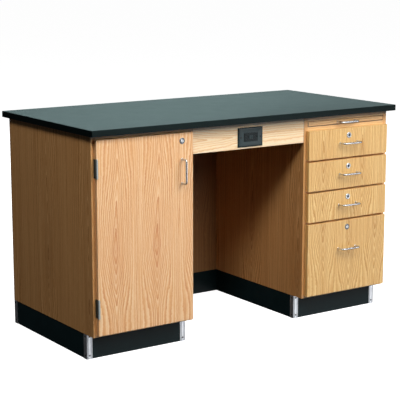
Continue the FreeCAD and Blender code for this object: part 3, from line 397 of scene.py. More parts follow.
LOCK = metal("lock_metal", tone(180, 183, 186), tone(206, 208, 210), 0.26)
# Painted reflection: a dark and a grey copy of the lock metal, for the same metal as it looks when
# it reflects dim surroundings.
LOCK_PAINTED_DARK = metal("lock_metal_painted_dark_reflection", tone(52, 60, 68), tone(72, 82, 90), 0.3)
LOCK_PAINTED_GREY = metal("lock_metal_painted_grey_reflection", tone(104, 108, 112), tone(128, 131, 134), 0.3)
# The knuckles round the pin are painted lighter, a painted highlight for the light they reflect.
HINGE = metal("hinge_steel", tone(44, 62, 66), tone(62, 80, 84), 0.34, plated=0.6,
              barrel_highlight=(PIN_PLACE.x, PIN_PLACE.y, HIGHLIGHT_RADIUS, tone(184, 194, 194)))
ZINC = metal("zinc_steel", tone(176, 180, 184), tone(205, 208, 210), 0.38, plated=0.5)
ALUMINIUM = metal("aluminium", tone(214, 218, 224), tone(230, 233, 238), 0.42,
                  brush=(1.0, 1.0, 0.03), scale=1600.0)
SCREW = metal("screw_steel", tone(44, 44, 46), tone(62, 61, 60), 0.4)

SLOT_LOOKS = {
    "resin_top": RESIN,
    "oak_veneer": BACK_OAK,
    "oak_lumber": RAIL_OAK,
    "drawer_box_wood": BOX_WOOD,
    "black_plinth": PLINTH,
    "aluminium_posts": ALUMINIUM,
    "chrome_wire": CHROME,
    "lock_metal": LOCK,
    "hinge_steel": HINGE,
    "zinc_steel": ZINC,
    "dark_screws": SCREW,
    "outlet_plastic": OUTLET,
}
NODE_LOOKS = {
    "door_panel": DOOR_OAK,
    "drawer_1_front": DRAWER_OAK,
    "drawer_2_front": DRAWER_OAK,
    "drawer_3_front": DRAWER_OAK,
    "file_drawer_front": FILE_OAK,
    "left_outer_side": SIDE_OAK,
    "left_inner_side": SIDE_OAK,
    "right_inner_side": SIDE_OAK,
    "right_outer_side": SIDE_OAK,
    "left_bottom": SHELF_OAK,
    "right_bottom": SHELF_OAK,
    "cupboard_shelf": SHELF_OAK,
    "apron": APRON_OAK,
    "knee_back": SHADED_KNEE_OAK,
    "outlet_receptacle": SOCKET,
    "writing_board": WRITING_OAK,
    "writing_board_runners": RUNNER_OAK,
}


# ---------------------------------------------------------------- surfaces in mesh code

CORNER_STEPS = 7        # points on each quarter of a loop, less one
QUARTER = math.radians(90)
SMOOTH_ANGLE = math.radians(32)
WELD = 0.002 * MM
SLIM = 0.94             # how much of an outline is left at the end of its chamfer


def toward(way, place):
    """A frame at a place whose Z looks along way and whose Y looks up, or back if way is up."""
    normal = Vector(way)
    up = Vector((0, 1, 0)) if abs(normal.z) > 0.5 else Vector((0, 0, 1))
    turned = Matrix((up.cross(normal), up, normal)).transposed().to_4x4()
    turned.translation = place
    return turned


def oblong(width, height, radius, level):
    """A loop round a rectangle with rounded corners, in the XY plane at a level."""
    radius = min(radius, width / 2, height / 2)
    loop = []
    for quarter, (across, up) in enumerate(((1, 1), (-1, 1), (-1, -1), (1, -1))):
        for step in range(CORNER_STEPS + 1):
            angle = QUARTER * (quarter + step / CORNER_STEPS)
            loop.append(Vector((across * (width / 2 - radius) + radius * math.cos(angle),
                                up * (height / 2 - radius) + radius * math.sin(angle), level)))
    return loop


def ring(radius, level):
    return oblong(2 * radius, 2 * radius, radius, level)


def cross(reach, half, level):
    """A loop round a cross, with as many points as an oblong."""
    loop = []
    bend = (CORNER_STEPS + 1) // 2
    for quarter in range(4):
        turn = Matrix.Rotation(QUARTER * quarter, 2)
        for step in range(CORNER_STEPS + 1):
            if step < bend:
                spot = Vector((reach + (half - reach) * step / (bend - 1), half))
            else:
                share = (step - bend) / (CORNER_STEPS - bend)
                spot = Vector((half, half + (reach - half) * share))
            loop.append((turn @ spot).to_3d() + Vector((0, 0, level)))
    return loop


def lifted(outline, level):
    """An outline in the XY plane as a loop at a level."""
    return [Vector((*point, level)) for point in outline]


def rounded(points, radius, steps=4):
    """The outline through points, in the XY plane, with its corners rounded."""
    outline = []
    count = len(points)
    for number, corner in enumerate(points):
        corner = Vector(corner)
        before = Vector(points[number - 1]) - corner
        after = Vector(points[(number + 1) % count]) - corner
        reach = min(radius, before.length * 0.45, after.length * 0.45)
        start = corner + before.normalized() * reach
        end = corner + after.normalized() * reach
        for step in range(steps + 1):
            share = step / steps
            outline.append(start.lerp(corner, share).lerp(corner.lerp(end, share), share))
    return outline


def bent_strip(spine, thick, radius):
    """The outline of a bent sheet about its middle line."""
    spine = [Vector(point) for point in spine]
    ways = [(after - before).normalized() for before, after in zip(spine, spine[1:])]
    left = []
    right = []
    for number, point in enumerate(spine):
        first_way = ways[max(number - 1, 0)]
        second_way = ways[min(number, len(ways) - 1)]
        offset = Vector((-first_way.y, first_way.x))
        if number not in (0, len(ways)):
            offset += Vector((-second_way.y, second_way.x))
        left.append(point + offset * thick / 2)
        right.append(point - offset * thick / 2)
    return rounded(left + right[::-1], radius)


class Surface:
    """The surface of one piece, gathered in millimetres of the row frame."""

    def __init__(self):
        self.points = []
        self.faces = []

    def loft(self, loops, place=Matrix.Identity(4), open_bore=False):
        """Join loops of equally many points; an open bore joins the last one to the first."""
        base = len(self.points)
        count = len(loops[0])
        for loop in loops:
            self.points += [place @ Vector(point) for point in loop]
        pairs = [(number, number + 1) for number in range(len(loops) - 1)]
        if open_bore:
            pairs.append((len(loops) - 1, 0))
        else:
            self.faces.append(tuple(base + step for step in range(count))[::-1])
            last = base + (len(loops) - 1) * count
            self.faces.append(tuple(last + step for step in range(count)))
        for first, second in pairs:
            for step in range(count):
                following = (step + 1) % count
                self.faces.append((base + first * count + step, base + first * count + following,
                                   base + second * count + following,
                                   base + second * count + step))

    def slice(self, outline, low, high, place=Matrix.Identity(4)):
        """An outline in the XY plane carried from one level to another."""
        self.loft([lifted(outline, low), lifted(outline, high)], place)

    def tube(self, path, radius, normal):
        """A round wire along a flat path whose plane has that normal."""
        normal = Vector(normal)
        loops = []
        path = [Vector(point) for point in path]
        for number, point in enumerate(path):
            before = path[max(number - 1, 0)]
            after = path[min(number + 1, len(path) - 1)]
            side = (after - before).normalized().cross(normal)
            loops.append([point + side * spot.x + normal * spot.y for spot in ring(radius, 0.0)])
        self.loft(loops)

    def finish(self, name, body, look, node):
        """Make the piece, tie it to its body and hide the CAD node that it stands for."""
        grown = bmesh.new()
        corners = [grown.verts.new(point * MM) for point in self.points]
        for face in self.faces:
            grown.faces.new([corners[index] for index in face])
        bmesh.ops.remove_doubles(grown, verts=grown.verts, dist=WELD)
        bmesh.ops.dissolve_degenerate(grown, edges=grown.edges, dist=WELD)
        bmesh.ops.recalc_face_normals(grown, faces=grown.faces)
        for face in grown.faces:
            face.smooth = True
        for edge in grown.edges:
            edge.smooth = edge.calc_face_angle(0.0) < SMOOTH_ANGLE
        mesh = bpy.data.meshes.new(name)
        grown.to_mesh(mesh)
        grown.free()
        piece = bpy.data.objects.new(name, mesh)
        bpy.context.scene.collection.objects.link(piece)
        mesh.materials.append(look)
        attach(piece, body)
        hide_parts(node)


def eased(radius, low, high, steps=4):
    """Insets and levels up the side of a block whose two rims are rounded."""
    stops = []
    for step in range(steps + 1):
        angle = QUARTER * step / steps
        stops.append((radius * (1 - math.sin(angle)), low + radius * (1 - math.cos(angle))))
    return stops + [(inset, low + high - level) for inset, level in reversed(stops)]


# Shares of a screw head's radius and thickness: the rings up its side, and the reach, the half
# width and the level of the cross recess at its rim and at its floor.
PAN_HEAD = ((0.96, 0.0), (1.0, 0.12), (1.0, 0.45), (0.92, 0.75), (0.76, 0.94), (0.6, 1.0))
RECESS = ((0.5, 0.11, 1.0), (0.3, 0.07, 0.25))


def screw_head(surface, place, radius, thick):
    """A pan head with a cross recess; it stands on the frame's plane and looks along its Z."""
    loops = [ring(radius * share, thick * level) for share, level in PAN_HEAD]
    loops += [cross(radius * reach, radius * half, thick * level)
              for reach, half, level in RECESS]
    surface.loft(loops, place)


# ---------------------------------------------------------------- CAD nodes that stay

CAD_WELD = 0.01 * MM
FLAT_ANGLE = math.radians(1)
SHARP_ANGLE = math.radians(35)


def ease(piece, width):
    """Break the sharp edges of a piece, as sanding or casting leaves them."""
    weld = piece.modifiers.new("weld", "WELD")
    weld.merge_threshold = CAD_WELD
    flatten = piece.modifiers.new("flatten", "DECIMATE")
    flatten.decimate_type = "DISSOLVE"
    flatten.angle_limit = FLAT_ANGLE
    bevel = piece.modifiers.new("ease", "BEVEL")
    bevel.width = width
    bevel.segments = 2
    bevel.limit_method = "ANGLE"
    bevel.angle_limit = SHARP_ANGLE
    bevel.harden_normals = True


def paint(piece, look):
    piece.data.materials.clear()
    piece.data.materials.append(look)


EASE = 0.6              # width of the broken edge of a node that isn't listed here
SLOT_EASES = {"drawer_box_wood": 1.6, "oak_lumber": 1.0, "outlet_plastic": 0.4}
NODE_EASES = {"writing_board": 2.0}

for node, piece in frame["nodes"].items():
    slot_name = node_slots[node]
    paint(piece, NODE_LOOKS.get(node, SLOT_LOOKS[slot_name]))
    ease(piece, NODE_EASES.get(node, SLOT_EASES.get(slot_name, EASE)) * MM)


# ---------------------------------------------------------------- worktop

DRIP_INSET = 7.0
DRIP_WIDTH = 4.0
DRIP_DEPTH = 3.0
RIM = 1.8
WORKTOP_CORNER = 4.0
LEAST_CORNER = 0.4


def make_worktop():
    """A resin slab with rounded rims and corners and a drip groove under its edge."""
    low, high = extent("worktop")
    size = high - low
    rims = eased(RIM, 0.0, size.z)
    groove = [(DRIP_INSET + DRIP_WIDTH, 0.0), (DRIP_INSET + DRIP_WIDTH, DRIP_DEPTH),
              (DRIP_INSET, DRIP_DEPTH), (DRIP_INSET, 0.0)]
    loops = []
    for inset, level in groove + rims:
        loops.append(oblong(size.x - 2 * inset, size.y - 2 * inset,
                            max(WORKTOP_CORNER - inset, LEAST_CORNER), level))
    slab = Surface()
    middle = (low + high) / 2
    slab.loft(loops, Matrix.Translation((middle.x, middle.y, low.z)))
    slab.finish("worktop_slab", "desk_case", RESIN, "worktop")


# ---------------------------------------------------------------- wire pulls

WIRE = 4.0
BEND = 10.0
BEND_STEPS = 9
PULL_REACH = 35.0
PULL_HALF = 48.0
SCREW_HEAD = 4.0
SCREW_THICK = 1.6
COLLAR = ((1.0, 0.0), (1.0, 0.5), (0.5, 1.1), (-0.5, 1.3))  # how far past the wire, and level
WASHER = ((1.2, -0.05), (1.2, 0.35), (0.9, 0.5))            # how far past the head, and level


def make_pull(node, body, upright=False, screws=True):
    """A bent wire on two feet, and the screws that hold it from behind."""
    low, high = extent(node)
    middle = (low + high) / 2
    foot = low.y + PULL_REACH
    along = Vector((0, 0, 1)) if upright else Vector((1, 0, 0))
    out = Vector((0, -1, 0))
    start = Vector((middle.x, foot, middle.z))
    depth = PULL_REACH - WIRE
    path = [(-PULL_HALF, 0.0)]
    for step in range(BEND_STEPS + 1):
        angle = QUARTER * step / BEND_STEPS
        path.append((-PULL_HALF + BEND * (1 - math.cos(angle)),
                     depth - BEND * (1 - math.sin(angle))))
    # The end of the bend comes twice: a ring square to its last chord, and one square to the bar.
    path.append((-PULL_HALF + BEND, depth))
    path += [(-across, deep) for across, deep in reversed(path)]
    wire = Surface()
    wire.tube([start + along * across + out * deep for across, deep in path], WIRE,
              along.cross(out))
    for side in (-1, 1):
        place = start + along * side * PULL_HALF
        wire.loft([ring(WIRE + past, level) for past, level in COLLAR], toward(out, place))
        if screws:
            back = Vector((place.x, high.y - SCREW_THICK, place.z))
            screw_head(wire, toward((0, 1, 0), back), SCREW_HEAD, SCREW_THICK)
            wire.loft([ring(SCREW_HEAD + past, level) for past, level in WASHER],
                      toward((0, 1, 0), back))
    wire.finish(node + "_wire", body, CHROME, node)


# ---------------------------------------------------------------- locks

FLANGE_RADIUS = 12.5
FLANGE_THICK = 1.6
# How far inside the rim each step of the flange's front is, and how deep it lies.
FLANGE_STEPS = ((3.2, 0.0), (2.7, 0.25), (2.2, 0.0), (1.2, 0.0), (0.4, 0.35), (0.0, 0.9))
MOUTH = 0.5             # chamfer round the plug in the flange
BARREL_RADIUS = 9.5
BARREL_LENGTH = 35.1
BARREL_END = 0.4        # how much the barrel narrows at its end
BORE_RADIUS = 6.05
NUT_RADIUS = 13.5
NUT_THICK = 3.0
NUT_CORNER = 1.2
NUT_CHAMFER = 0.6
THREAD_PITCH = 1.5
THREAD_DEPTH = 0.45
THREAD_START = 0.2


def make_lock_case(node, body, grip, look):
    """A threaded cylinder with a stepped flange in front and a hexagonal nut behind."""
    low, high = extent(node)
    face = low.y + FLANGE_THICK
    place = toward((0, 1, 0), Vector(((low.x + high.x) / 2, face, (low.z + high.z) / 2)))
    profile = [(BORE_RADIUS, -FLANGE_THICK + MOUTH), (BORE_RADIUS + MOUTH, -FLANGE_THICK)]
    profile += [(FLANGE_RADIUS - inset, -FLANGE_THICK + sunk) for inset, sunk in FLANGE_STEPS]
    profile += [(FLANGE_RADIUS, 0.0), (BARREL_RADIUS, 0.0)]
    level = grip + THREAD_START
    while level + THREAD_PITCH < BARREL_LENGTH:
        profile += [(BARREL_RADIUS, level),
                    (BARREL_RADIUS - THREAD_DEPTH, level + THREAD_PITCH / 2)]
        level += THREAD_PITCH
    profile += [(BARREL_RADIUS - BARREL_END, BARREL_LENGTH), (BORE_RADIUS, BARREL_LENGTH)]
    case = Surface()
    case.loft([ring(radius, height) for radius, height in profile], place, open_bore=True)
    corners = [math.radians(60 * side) for side in range(6)]
    hexagon = rounded([(NUT_RADIUS * math.cos(angle), NUT_RADIUS * math.sin(angle))
                       for angle in corners], NUT_CORNER, 2)
    inner = [point * SLIM for point in hexagon]
    case.loft([lifted(inner, grip), lifted(hexagon, grip + NUT_CHAMFER),
               lifted(hexagon, grip + NUT_THICK - NUT_CHAMFER), lifted(inner, grip + NUT_THICK)],
              place)
    case.finish(node + "_barrel", body, look, node)


PLUG_RADIUS = 6.0
PLUG_PROUD = 0.5
PLUG_RIM = ((0.0, 0.5), (0.5, 0.0), (1.1, 0.0), (1.3, 0.25))    # inset, and depth
# The width, height, corner and depth of each loop down into the keyway.
KEYWAY = ((3.4, 8.6, 1.7, 0.25), (2.6, 7.8, 1.3, 0.7), (1.6, 7.0, 0.5, 0.7))
KEYWAY_DEPTH = 7.0
CAM_FRONT = 35.4
CAM_THICK = 2.5
CAM_HALF = 7.0
CAM_REACH = 29.0
CAM_CHAMFER = 0.4
CAM_STEPS = 24


def make_lock_plug(node, body, look):
    """The turning core with its keyway, and the cam with its bolt on the core's tail."""
    low, high = extent(node)
    centre_x = high.x - CAM_HALF
    centre_z = (low.z + high.z) / 2
    proud = FLANGE_THICK + PLUG_PROUD
    face = low.y + proud
    front = toward((0, -1, 0), Vector((centre_x, face, centre_z)))
    core = Surface()
    loops = [ring(PLUG_RADIUS, -CAM_FRONT)]
    loops += [ring(PLUG_RADIUS - inset, proud - sunk) for inset, sunk in PLUG_RIM]
    loops += [oblong(width, height, corner, proud - sunk)
              for width, height, corner, sunk in KEYWAY]
    loops.append(oblong(*KEYWAY[-1][:3], -KEYWAY_DEPTH))
    core.loft(loops, front)
    outline = []
    for middle, first in ((0.0, -QUARTER), (-CAM_REACH, QUARTER)):
        for step in range(CAM_STEPS + 1):
            angle = first + 2 * QUARTER * step / CAM_STEPS
            outline.append(Vector((middle + CAM_HALF * math.cos(angle),
                                   CAM_HALF * math.sin(angle))))
    slim = [Vector((point.x * 0.985 - 0.1, point.y * SLIM)) for point in outline]
    back = -CAM_FRONT - CAM_THICK
    core.loft([lifted(slim, back), lifted(outline, back + CAM_CHAMFER),
               lifted(outline, -CAM_FRONT - CAM_CHAMFER), lifted(slim, -CAM_FRONT)], front)
    bolt = toward((0, 1, 0), Vector((centre_x, face + CAM_FRONT + CAM_THICK, centre_z)))
    screw_head(core, bolt, SCREW_HEAD, SCREW_THICK)
    core.finish(node + "_core", body, look, node)


# ---------------------------------------------------------------- hinges

KNUCKLE_RADIUS = 4.75
KNUCKLE_COUNT = 5
KNUCKLE_GAP = 0.35
KNUCKLE_CHAMFER = 0.3
CURL_STEPS = 30
CURL_NOTCH = 0.7
HINGE_HALF = 36.5
HINGE_SHEET = 2.0
SHEET_CORNER = 1.2
PIN_HEAD = 1.6
PIN_HALF = HINGE_HALF + PIN_HEAD
PIN_ENDS = ((2.2, 0.0), (3.6, 0.4), (4.2, 1.0), (4.2, PIN_HEAD), (2.5, PIN_HEAD))
LEAF_SCREW = 3.6
LEAF_SCREW_THICK = 0.7
LEAF_SCREW_SHARES = (-0.64, 0.0, 0.64)

# The middle line of each leaf's sheet and the place of its screws, across and back from the
# pin. The frame's leaf goes round the front of the side panel, the door's leaf behind the door.
# A curl is the two sides of the sheet that comes from the knuckle, and how far back it goes.
FRAME_LEAF = ((-0.3, 5.6), (-0.3, 25.4), (9.0, 25.4), (9.0, 56.4))
FRAME_SCREWS = (10.0, 44.0)
FRAME_CURL = (-1.3, 0.7, 6.0)
DOOR_LEAF = ((2.0, 5.2), (2.0, 23.0), (33.0, 23.0))
DOOR_SCREWS = (20.0, 24.0)
DOOR_CURL = (3.0, 1.0, 5.6)


def curl(left, right, root):
    """A knuckle's outline: a sheet's root that curls round the pin and ends in a notch."""
    start = math.atan2(math.sqrt(KNUCKLE_RADIUS ** 2 - left ** 2), left)
    end = math.atan2(math.sqrt(KNUCKLE_RADIUS ** 2 - right ** 2), right)
    points = [Vector((right, root)), Vector((left, root))]
    for step in range(CURL_STEPS + 1):
        angle = start + (4 * QUARTER - start + end) * step / CURL_STEPS
        radius = KNUCKLE_RADIUS - (CURL_NOTCH if step == CURL_STEPS - 3 else 0.0)
        points.append(Vector((radius * math.cos(angle), radius * math.sin(angle))))
    return points


def hinge_places():
    """The middle of each hinge on its pin's axis."""
    low, high = extent("hinge_pins")
    middle = ((low.x + high.x) / 2, (low.y + high.y) / 2)
    return [Vector((*middle, low.z + PIN_HALF)), Vector((*middle, high.z - PIN_HALF))]


def knuckles(surface, place, numbers, outline):
    """The knuckles of one leaf, counted from the bottom."""
    height = (2 * HINGE_HALF - (KNUCKLE_COUNT - 1) * KNUCKLE_GAP) / KNUCKLE_COUNT
    for number in numbers:
        low = -HINGE_HALF + number * (height + KNUCKLE_GAP)
        high = low + height
        slim = [point * SLIM for point in outline]
        surface.loft([lifted(slim, low), lifted(outline, low + KNUCKLE_CHAMFER),
                      lifted(outline, high - KNUCKLE_CHAMFER), lifted(slim, high)],
                     Matrix.Translation(place))


def make_hinges():
    fixed = Surface()
    moving = Surface()
    pins = Surface()
    for place in hinge_places():
        to_place = Matrix.Translation(place)
        knuckles(fixed, place, (0, 2, 4), curl(*FRAME_CURL))
        knuckles(moving, place, (1, 3), curl(*DOOR_CURL)[::-1])
        for leaf, spine in ((fixed, FRAME_LEAF), (moving, DOOR_LEAF)):
            leaf.slice(bent_strip(spine, HINGE_SHEET, SHEET_CORNER), -HINGE_HALF, HINGE_HALF,
                       to_place)
        for share in LEAF_SCREW_SHARES:
            for leaf, way, spot in ((fixed, (1, 0, 0), FRAME_SCREWS),
                                    (moving, (0, 1, 0), DOOR_SCREWS)):
                screw_head(leaf, toward(way, place + Vector((*spot, share * HINGE_HALF))),
                           LEAF_SCREW, LEAF_SCREW_THICK)
        ends = [ring(radius, level - PIN_HALF) for radius, level in PIN_ENDS]
        ends += [ring(radius, PIN_HALF - level) for radius, level in reversed(PIN_ENDS)]
        pins.loft(ends, to_place)
    fixed.finish("hinge_frame_leaf_sheets", "desk_case", HINGE,
                 "hinge_frame_leaves")
    moving.finish("hinge_door_leaf_sheets", "door", HINGE, "hinge_door_leaves")
    pins.finish("hinge_pin_rods", "desk_case", HINGE, "hinge_pins")


# ---------------------------------------------------------------- plinth posts

FLANGE = 25.0
WALL_THICK = 2.5
CORNER_ARC = ((0.0, 1.2), (0.35, 0.35), (1.2, 0.0))
FLANGE_CHAMFER = 0.5
GROOVES = (3.5, 7.0, 18.0, 21.5)
# A groove between two ribs: along the flange, and how deep.
GROOVE_SHAPE = ((-1.1, 0.0), (-0.75, 0.35), (-0.4, 0.8), (0.0, 0.95), (0.4, 0.8), (0.75, 0.35),
                (1.1, 0.0))
POST_SCREW = 3.4
POST_SCREW_LEVELS = (15.0, 91.6)


def post_outline():
    """One ribbed angle with its corner at the origin and its flanges along +X and +Y."""
    flange = [(groove + along, deep) for groove in GROOVES for along, deep in GROOVE_SHAPE]
    flange += [(FLANGE - FLANGE_CHAMFER, 0.0), (FLANGE, FLANGE_CHAMFER),
               (FLANGE, WALL_THICK - FLANGE_CHAMFER), (FLANGE - FLANGE_CHAMFER, WALL_THICK)]
    mirrored = [(along, across) for across, along in reversed(flange)]
    return [*CORNER_ARC, *flange, (WALL_THICK, WALL_THICK), *mirrored]


def make_posts():
    low, high = extent("plinth_corner_posts")
    corners = []
    for left, right in (("left_outer_side", "left_inner_side"),
                        ("right_inner_side", "right_outer_side")):
        for x, way_x in ((extent(left)[0].x, 1), (extent(right)[1].x, -1)):
            corners += [(x, low.y, way_x, 1), (x, high.y, way_x, -1)]
    posts = Surface()
    screws = Surface()
    for x, y, way_x, way_y in corners:
        posts.slice([Vector((x + way_x * across, y + way_y * along))
                     for across, along in post_outline()], low.z, high.z)
        for level in POST_SCREW_LEVELS:
            for way, spot in (((0, -way_y, 0), (x + way_x * FLANGE / 2, y, level)),
                              ((-way_x, 0, 0), (x, y + way_y * FLANGE / 2, level))):
                screw_head(screws, toward(way, Vector(spot)), POST_SCREW, SCREW_THICK)
    posts.finish("plinth_post_angles", "desk_case", ALUMINIUM,
                 "plinth_corner_posts")
    screws.finish("plinth_screw_heads", "desk_case", SCREW, "plinth_screws")


# ---------------------------------------------------------------- drawer slides

STEEL = 1.2
ROLL = 2.2
RIVET_RINGS = ((3.2, 0.0), (2.88, 0.3), (1.76, 0.5))    # radius, and level
RIVET_SHARES = (0.06, 0.3, 0.62, 0.94)
DRAWER_MIDDLE = sum(corner.x for corner in extent("drawer_1_front")) / 2


def separate_solids(node):
    """The lowest and highest corner of each solid of a CAD node, in millimetres."""
    joined = bmesh.new()
    joined.from_mesh(frame["nodes"][node].data)
    bmesh.ops.remove_doubles(joined, verts=joined.verts, dist=CAD_WELD)
    left = set(joined.verts)
    solids = []
    while left:
        reached = [left.pop()]
        for vertex in reached:
            others = {edge.other_vert(vertex) for edge in vertex.link_edges} & left
            left -= others
            reached += others
        corners = [vertex.co / MM for vertex in reached]
        solids.append((Vector([min(places) for places in zip(*corners)]),
                       Vector([max(places) for places in zip(*corners)])))
    joined.free()
    return sorted(solids, key=lambda corners: tuple(corners[0]))


def make_slide(node, body, web_outside):
    """Rolled steel channels with riveted webs, on both sides of a drawer."""
    steel = Surface()
    for low, high in separate_solids(node):
        on_left = low.x < DRAWER_MIDDLE
        web_is_low = on_left == web_outside
        web, way = (low.x, 1) if web_is_low else (high.x, -1)
        reach = high.x - low.x
        half = (high.z - low.z) / 2
        middle = (high.z + low.z) / 2
        spine = [(reach, STEEL / 2 - half), (STEEL / 2, STEEL / 2 - half),
                 (STEEL / 2, half - STEEL / 2), (reach, half - STEEL / 2)]
        outline = [(web + way * point.x, middle + point.y)
                   for point in bent_strip(spine, STEEL, ROLL)]
        steel.loft([[(across, deep, up) for across, up in outline] for deep in (low.y, high.y)])
        for share in RIVET_SHARES:
            place = Vector((web + way * STEEL, low.y + share * (high.y - low.y), middle))
            steel.loft([ring(radius, level) for radius, level in RIVET_RINGS],
                       toward((way, 0, 0), place))
    steel.finish(node + "_channels", body, ZINC, node)


# ---------------------------------------------------------------- power outlet

PLATE_BEVEL = 3.0
PLATE_CORNER = 1.5
WINDOW = (67.1, 33.6)
# How far each loop of the plate is inside its outline, its corner, and how deep it lies.
PLATE_EDGE = ((0.0, PLATE_CORNER, PLATE_BEVEL + 0.3), (0.25, PLATE_CORNER, PLATE_BEVEL - 0.1),
              (PLATE_BEVEL - 0.3, 1.2, 0.25), (PLATE_BEVEL + 0.2, 1.2, 0.0))
# How far each loop of the window is outside it, its corner, and how deep it lies.
WINDOW_EDGE = ((1.8, 2.6, 0.0), (1.3, 2.1, 1.0), (0.2, 1.4, 1.2), (0.0, 1.2, 1.6))
BUTTON_EASE = 0.7
BUTTON_CORNER = 1.0
BUTTON_DISH = ((1.3, 0.8, 0.0), (1.7, 0.6, 0.35))


def framed(size, edges, level):
    """Rounded loops inside an oblong of a size, each at a depth below a level."""
    return [oblong(size[0] - 2 * inset, size[1] - 2 * inset, corner, level - sunk)
            for inset, corner, sunk in edges]


def make_outlet_plate():
    low, high = extent("outlet_plate")
    size = high - low
    middle = (low + high) / 2
    outward = [(-past, corner, sunk) for past, corner, sunk in WINDOW_EDGE]
    loops = [oblong(size.x, size.z, PLATE_CORNER, 0.0)]
    loops += framed((size.x, size.z), PLATE_EDGE, size.y) + framed(WINDOW, outward, size.y)
    loops.append(oblong(*WINDOW, WINDOW_EDGE[-1][1], 0.0))
    plate = Surface()
    plate.loft(loops, toward((0, -1, 0), Vector((middle.x, high.y, middle.z))), open_bore=True)
    plate.finish("outlet_wall_plate", "desk_case", OUTLET, "outlet_plate")


def make_outlet_screws():
    low, high = extent("outlet_screws")
    screws = Surface()
    for x in (low.x + POST_SCREW, high.x - POST_SCREW):
        place = Vector((x, low.y + SCREW_THICK, (low.z + high.z) / 2))
        screw_head(screws, toward((0, -1, 0), place), POST_SCREW, SCREW_THICK)
    screws.finish("outlet_screw_heads", "desk_case", SCREW, "outlet_screws")


def make_outlet_button(node, body):
    low, high = extent(node)
    size = high - low
    middle = (low + high) / 2
    loops = [oblong(size.x - 2 * inset, size.z - 2 * inset, BUTTON_CORNER, level)
             for inset, level in eased(BUTTON_EASE, 0.0, size.y)]
    loops += framed((size.x, size.z), BUTTON_DISH, size.y)
    button = Surface()
    button.loft(loops, toward((0, -1, 0), Vector((middle.x, high.y, middle.z))))
    button.finish(node + "_cap", body, OUTLET, node)


# ---------------------------------------------------------------- build the pieces

DRAWER_NAMES = ("drawer_1", "drawer_2", "drawer_3", "file_drawer")
DOOR_GRIP = 19.0        # what the lock's flange and nut hold between them
DRAWER_GRIP = 31.7

make_worktop()
make_pull("door_pull", "door", upright=True)
make_pull("writing_board_pull", "writing_board", screws=False)
# Painted reflection: the door's lock case takes the grey copy of the lock metal.
make_lock_case("door_lock_case", "door", DOOR_GRIP, LOCK_PAINTED_GREY)
make_lock_plug("door_lock_plug", "door_lock", LOCK)
for name in DRAWER_NAMES:
    make_pull(name + "_pull", name)
    # Painted reflection: each lock takes a lighter or a darker copy of the same metal for its case
    # and its plug.
    case_look, plug_look = (LOCK_PAINTED_GREY, LOCK) if name == "file_drawer" else (LOCK, LOCK_PAINTED_DARK)
    make_lock_case(name + "_lock_case", name, DRAWER_GRIP, case_look)
    make_lock_plug(name + "_lock_plug", name + "_lock", plug_look)
    make_slide(name + "_slide", name, web_outside=False)
make_slide("file_slide_middle", "file_slide_middle", web_outside=True)
make_slide("slide_cabinet_members", "desk_case", web_outside=True)
make_hinges()
make_posts()
make_outlet_plate()
make_outlet_screws()
make_outlet_button("outlet_test_button", "test_button")
make_outlet_button("outlet_reset_button", "reset_button")


# ---------------------------------------------------------------- stage, light and camera

FILL = 0.020        # brightness of the room in the shade
WHITE = (1.0, 1.0, 1.0)
TEAL = (0.72, 1.0, 1.0)
FLOOR_HALF = 90.0
FLOOR_GLOW = 0.97


def make_floor():
    """A floor that glows as white as the backdrop, and neither lights nor shades the desk."""
    mesh = bpy.data.meshes.new("floor")
    corners = [(x * FLOOR_HALF, y * FLOOR_HALF, 0.0)
               for x, y in ((-1, -1), (1, -1), (1, 1), (-1, 1))]
    mesh.from_pydata(corners, [], [(0, 1, 2, 3)])
    floor = bpy.data.objects.new("floor", mesh)
    bpy.context.scene.collection.objects.link(floor)
    look = Recipe("floor_paint")
    look.set(Base_Color=tone(205, 205, 205), Roughness=0.9)
    look.set(Emission_Color=(*WHITE, 1.0), Emission_Strength=FLOOR_GLOW)
    floor.data.materials.append(look.material)
    floor.visible_diffuse = False
    floor.visible_glossy = False
    floor.visible_shadow = False


def make_room():
    """A dim room that lights the shade, with a white backdrop where the floor ends."""
    world = bpy.data.worlds.new("studio")
    world.use_nodes = True
    tree = world.node_tree
    background = tree.nodes["Background"]
    background.inputs["Color"].default_value = (*WHITE, 1.0)
    seen = tree.nodes.new("ShaderNodeLightPath")
    strength = tree.nodes.new("ShaderNodeMath")
    strength.operation = "MAXIMUM"
    strength.inputs[1].default_value = FILL
    tree.links.new(seen.outputs["Is Camera Ray"], strength.inputs[0])
    tree.links.new(strength.outputs[0], background.inputs["Strength"])
    bpy.context.scene.world = world


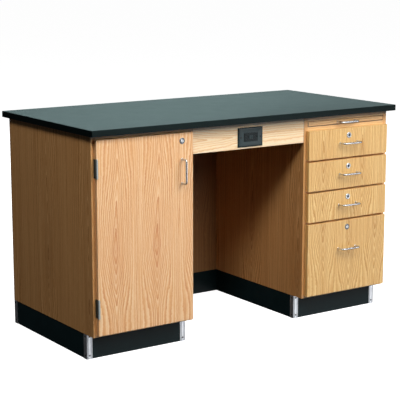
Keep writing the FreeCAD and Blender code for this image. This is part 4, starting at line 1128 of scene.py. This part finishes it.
DESK_MIDDLE = (0.0, 0.0, 0.45)
TOP_MIDDLE = (0.0, 0.0, 0.9)
TOP_FRONT = (-0.4, -0.4, 0.9)


def area_light(name, place, aim, size, power, colour=WHITE, diffuse=True, glossy=True):
    data = bpy.data.lights.new(name, "AREA")
    data.shape = "RECTANGLE"
    data.size, data.size_y = size
    data.energy = power
    data.color = colour
    lamp = bpy.data.objects.new(name, data)
    lamp.location = place
    lamp.rotation_euler = (Vector(aim) - Vector(place)).to_track_quat("-Z", "Y").to_euler()
    lamp.visible_camera = False
    lamp.visible_diffuse = diffuse
    lamp.visible_glossy = glossy
    bpy.context.scene.collection.objects.link(lamp)


def make_light():
    """Softboxes in front, to the left and behind, and sheets that only show as reflections: two
    behind for the worktop, and a low one in front for the wires and the posts."""
    area_light("key", (1.7, -4.4, 4.1), DESK_MIDDLE, (4.2, 4.2), 364.0)
    area_light("side", (-3.0, -3.0, 4.4), DESK_MIDDLE, (1.4, 1.4), 134.0)
    area_light("sheen", (3.0, 5.4, 2.0), TOP_MIDDLE, (7.4, 2.6), 84.0, TEAL, diffuse=False)
    area_light("near_sheen", (0.8, 2.0, 2.4), TOP_FRONT, (2.0, 0.7), 21.0, TEAL, diffuse=False)
    area_light("rear", (1.2, 5.2, 3.0), DESK_MIDDLE, (3.6, 3.6), 190.0, glossy=False)
    area_light("card", (2.6, -4.2, -0.45), DESK_MIDDLE, (5.0, 2.4), 75.0, diffuse=False)


CAMERA_PLACE = (-3.0763, -4.4767, 1.5521)
CAMERA_YAW = math.radians(34.32)
CAMERA_PITCH = math.radians(10.83)
CAMERA_LENS = 114.8
CAMERA_END = 300.0


def make_camera():
    data = bpy.data.cameras.new("camera")
    data.lens = CAMERA_LENS
    data.clip_end = CAMERA_END
    camera = bpy.data.objects.new("camera", data)
    camera.location = CAMERA_PLACE
    camera.rotation_euler = (math.pi / 2 - CAMERA_PITCH, 0.0, -CAMERA_YAW)
    bpy.context.scene.collection.objects.link(camera)
    bpy.context.scene.camera = camera


make_floor()
make_room()
make_light()
make_camera()
bpy.context.scene.view_settings.view_transform = "Standard"
